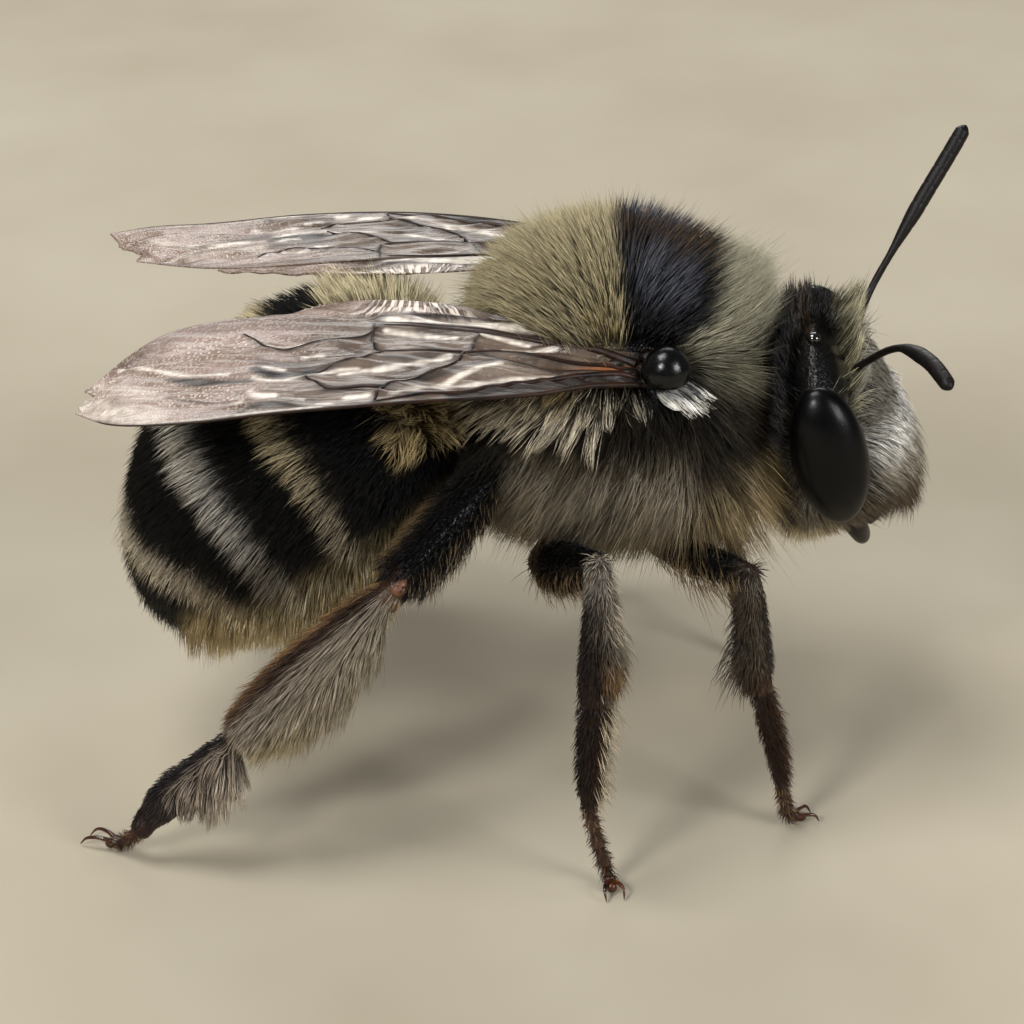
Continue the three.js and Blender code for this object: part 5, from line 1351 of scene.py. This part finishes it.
# ---- wings ---------------------------------------------------------------------
def wing(front, back, veins, painted_highlights, dusk, side, t0, t1, nt, nw, notch):
    """A thin creased membrane and its veins, between two edge curves."""
    def spot(t, w):
        t, w = np.atleast_1d(np.asarray(t, float)), np.atleast_1d(np.asarray(w, float))
        return lerp(curve(front, t), curve(back, t), w[:, None])
    lines = []
    for keys, r0, r1 in veins.values():
        k = np.array(keys, float)
        t = np.linspace(0, 1, 12 * (len(k) - 1) + 1)
        tw = curve(np.column_stack([k, 0 * k[:, 0]]), t)[:, :2]
        tw[:, 1] = np.clip(tw[:, 1], 0, 1)
        lines.append((spot(tw[:, 0], tw[:, 1]), lerp(r0, r1, t)))
    tt, ww = np.meshgrid(np.linspace(t0, t1, nt + 1), np.linspace(0, 1, nw + 1), indexing="ij")
    tt, ww = tt.ravel(), ww.ravel()
    p = spot(tt, ww)
    nearest = np.full(len(p), 9.0)
    for line, _ in lines:
        for a, b in zip(line[:-1], line[1:]):
            ab = b - a
            f = np.clip(((p - a) @ ab) / (ab @ ab + 1e-12), 0, 1)
            nearest = np.minimum(nearest, np.linalg.norm(p - a - ab * f[:, None], axis=1))
    def marks(list_):
        total = np.zeros(len(p))
        for keys, half, strength in list_:
            k = np.array(keys, float)
            tw = curve(np.column_stack([k, 0 * k[:, 0]]), np.linspace(0, 1, 8 * (len(k) - 1) + 1))[:, :2]
            line = spot(np.clip(tw[:, 0], 0, 1), np.clip(tw[:, 1], 0, 1))
            away = np.full(len(p), 9.0)
            for a, b in zip(line[:-1], line[1:]):
                ab = b - a
                f = np.clip(((p0 - a) @ ab) / (ab @ ab + 1e-12), 0, 1)
                away = np.minimum(away, np.linalg.norm(p0 - a - ab * f[:, None], axis=1))
            total = np.maximum(total, strength * (1 - smooth(.25, 1.65, away / half)))
        return total
    p0 = p.copy()
    # light streaks painted as highlights, and dark marks that are partly the wing's own smoke and partly painted shade
    painted_glint, smoke_and_shade = marks(painted_highlights), marks(dusk)
    edge = np.minimum(np.minimum(ww, 1 - ww) * 8, 1)
    ridges = np.exp(-nearest / .16)
    waves = ripple(p * [.35, 1.3, 1], .9, 41) * .055 + ripple(p * [.6, 2.2, 1], .55, 42) * .030
    p[:, 2] += (.075 * ridges - .04 + waves) * edge
    distal = smooth(.55, .75, tt)
    folds = np.abs(((ww - .15) * 5.2 + (1 - tt) * .6) % 1 - .5)
    p[:, 2] += distal * edge * .05 * (folds - .25)
    if notch:
        cut_ = smooth(.94, 1, tt) * (.07 * np.abs(np.sin(ww * 9)) + .06 * np.exp(-((ww - .72) / .12) ** 2) * 4)
        p[:, 0] += cut_
    dark = (1 - smooth(.02, .07, nearest)) * .70 + np.exp(-nearest / .12) * .22 * (1 - distal)
    painted_glint = painted_glint * (1 + .35 * ripple(p * [2.2, .4, 1], .35, 47))
    base = 0 * tt
    if notch:
        base = .85 * np.exp(-((tt - .085) / .055) ** 2) * np.exp(-((ww - .46) / .09) ** 2) + .55 * np.exp(-((tt - .13) / .06) ** 2) * np.exp(-((ww - .47) / .06) ** 2)
        dark = np.maximum(dark, .85 * (1 - smooth(.01, .03, tt)))
    ribs = smooth(.40, .60, ww) * smooth(.30, .36, tt) * (1 - smooth(.60, .66, tt)) * (0.0 if notch else 1.0) * np.ones(len(p))
    dark = np.maximum(dark, smoke_and_shade)
    dark = np.clip(dark, 0, 1)
    width = np.linalg.norm(curve(back, tt) - curve(front, tt), axis=1)
    sheet = np.column_stack([tt * 9.8, (ww - .5) * width, 0 * tt])
    n0 = len(p)
    thick = .013
    top, low = p + [0, 0, thick], p - [0, 0, thick]
    both = np.vstack([top, low])
    both[:, 1] *= side
    idx = np.arange(n0).reshape(nt + 1, nw + 1)
    faces = []
    for i in range(nt):
        for j in range(nw):
            a, b, c, d = idx[i, j], idx[i + 1, j], idx[i + 1, j + 1], idx[i, j + 1]
            faces += [(a, b, c, d), (d + n0, c + n0, b + n0, a + n0)]
    rim = [(idx[i, 0], idx[i + 1, 0]) for i in range(nt)] + [(idx[nt, j], idx[nt, j + 1]) for j in range(nw)]
    rim += [(idx[i + 1, nw], idx[i, nw]) for i in reversed(range(nt))] + [(idx[0, j + 1], idx[0, j]) for j in reversed(range(nw))]
    faces += [(b, a, a + n0, b + n0) for a, b in rim]
    tubes = []
    tree_ = KDTree(n0)
    for k in range(n0):
        tree_.insert(Vector((p[k, 0], p[k, 1], 0)), k)
    tree_.balance()
    for line, radius in lines:
        lift = np.array([p[tree_.find(Vector((q[0], q[1], 0)))[1], 2] for q in line])
        kernel = np.ones(5) / 5
        if len(lift) > 8:
            lift = np.convolve(np.pad(lift, 2, mode="edge"), kernel, "valid")
        line = np.column_stack([line[:, 0], line[:, 1] * side, lift])
        rod = Rod(line[::3] if len(line) > 12 else line, lambda v, radius=radius: np.interp(v, np.linspace(0, 1, len(radius)), radius) * np.sqrt(np.clip(np.minimum(v, 1 - v) / .02, .1, 1)), count=len(line) * 2)
        q, f = solid(rod, 8, len(line) * 2)
        tubes.append((q, f))
    attrs = {"painted_glint": np.tile(np.clip(painted_glint, 0, 1), 2), "ribs": np.tile(ribs, 2), "distal": np.tile(distal, 2), "dark": np.tile(dark, 2), "base": np.tile(base, 2), "sheet": np.tile(sheet, (2, 1))}
    return (both, outward(both, faces)), join(tubes), attrs


for side_name, side in SIDES.items():
    fine = 1.0 if side_name == "right" else .55
    for kind, front, back, veins, painted_highlights, dusk, t0, t1, nt, nw, notch in (("fore", WING_FORE, WING_FOLD, FORE_VEINS, FORE_PAINTED_HIGHLIGHTS, FORE_DUSK, 0, 1, int(290 * fine), int(84 * fine), True),
                                                                         ("hind", WING_FOLD, WING_INNER, HIND_VEINS, HIND_PAINTED_HIGHLIGHTS, HIND_DUSK, .12, .8, int(120 * fine), int(26 * fine), False)):
        if kind == "hind":
            front = [[x, y + .02, z - .03] for x, y, z in front]
        if kind == "fore" and side_name == "left":
            # the far forewing gets two more painted highlights
            painted_highlights = [([(.90, .30), (.84, .40), (.76, .44), (.70, .43)], .10, .35), ([(.86, .72), (.78, .62), (.70, .58)], .14, .30)] + FORE_PAINTED_HIGHLIGHTS[:-3]
            front = front[:-2] + [[-6.8, 4.20, 8.60], [-7.55, 4.02, 8.54]]
            back = back[:-2] + [[-5.4, 1.32, 9.06], [-6.95, 2.55, 8.64]]
        sheet_, tubes, attrs = wing(front, back, veins, painted_highlights, dusk, side, t0, t1, nt, nw, notch)
        piece = make(f"membrane_{kind}_{side_name}", *sheet_, MATERIALS["membrane"], "wing", [f"{kind}wing_{side_name}"])
        for key, value in attrs.items():
            if value.ndim == 2:
                piece.data.attributes.new(key, "FLOAT_VECTOR", "POINT").data.foreach_set("vector", value.astype(np.float32).ravel())
            else:
                piece.data.attributes.new(key, "FLOAT", "POINT").data.foreach_set("value", value.astype(np.float32))
        make(f"veins_{kind}_{side_name}", *tubes, MATERIALS["vein"], "wing")
    knobs = [solid(Ball([x, side * y, z], r), 24, 16) for x, y, z, r in
             ((2.22, 2.30, 8.78, [.20, .16, .13]), (2.02, 2.50, 8.80, [.18, .13, .10]), (2.30, 2.42, 8.60, [.16, .14, .14]), (1.85, 2.30, 8.90, [.22, .14, .09]), (2.38, 2.14, 8.96, [.20, .16, .12]))]
    make(f"wing_root_{side_name}", *join(knobs), MATERIALS["jaw"], "cuticle")

# ---- floor, camera and light ---------------------------------------------------
ground = Paint("floor", Roughness=.85, Specular_IOR_Level=.2)
ground.colour(ground.mix(ground.spread(ground.noise(.12, 3.0), .3, .7, 0, 1), srgb(160, 151, 132), srgb(172, 164, 146)))
mesh = bpy.data.meshes.new("floor")
mesh.from_pydata([(-.6, -.4, 0), (.6, -.4, 0), (.6, .8, 0), (-.6, .8, 0)], [], [(0, 1, 2, 3)])
mesh.materials.append(ground.m)
floor = bpy.data.objects.new("floor", mesh)
bpy.context.scene.collection.objects.link(floor)

target = Vector((0, 0, .00477))
camera_data = bpy.data.cameras.new("camera")
camera_data.lens, camera_data.sensor_width, camera_data.clip_start, camera_data.clip_end = 134.37, 36, .001, 10
camera = bpy.data.objects.new("camera", camera_data)
camera.location = (0, -.061806, .037633)
camera.rotation_euler = (target - camera.location).to_track_quat("-Z", "Y").to_euler()
bpy.context.scene.collection.objects.link(camera)
bpy.context.scene.camera = camera


def lamp(name, at, size, power, colour=(1, 1, 1)):
    data = bpy.data.lights.new(name, "AREA")
    data.energy, data.size, data.color = power, size, colour
    o = bpy.data.objects.new(name, data)
    o.location = at
    o.rotation_euler = (target - Vector(at)).to_track_quat("-Z", "Y").to_euler()
    bpy.context.scene.collection.objects.link(o)


lamp("top", (-.045, -.01, .13), .06, .13)
lamp("rim", (0, .13, .085), .10, .12, (1, .98, .95))
lamp("key", (-.065, -.10, .090), .03, .115, (1, .98, .95))
lamp("fill", (.095, -.075, .065), .05, .105, (.99, .98, 1))
world = bpy.data.worlds.new("studio")
world.use_nodes = True
world.node_tree.nodes["Background"].inputs[0].default_value = (.86, .88, .92, 1)
world.node_tree.nodes["Background"].inputs[1].default_value = .12
bpy.context.scene.world = world
bpy.context.scene.view_settings.view_transform = "Standard"

bpy.context.view_layer.update()
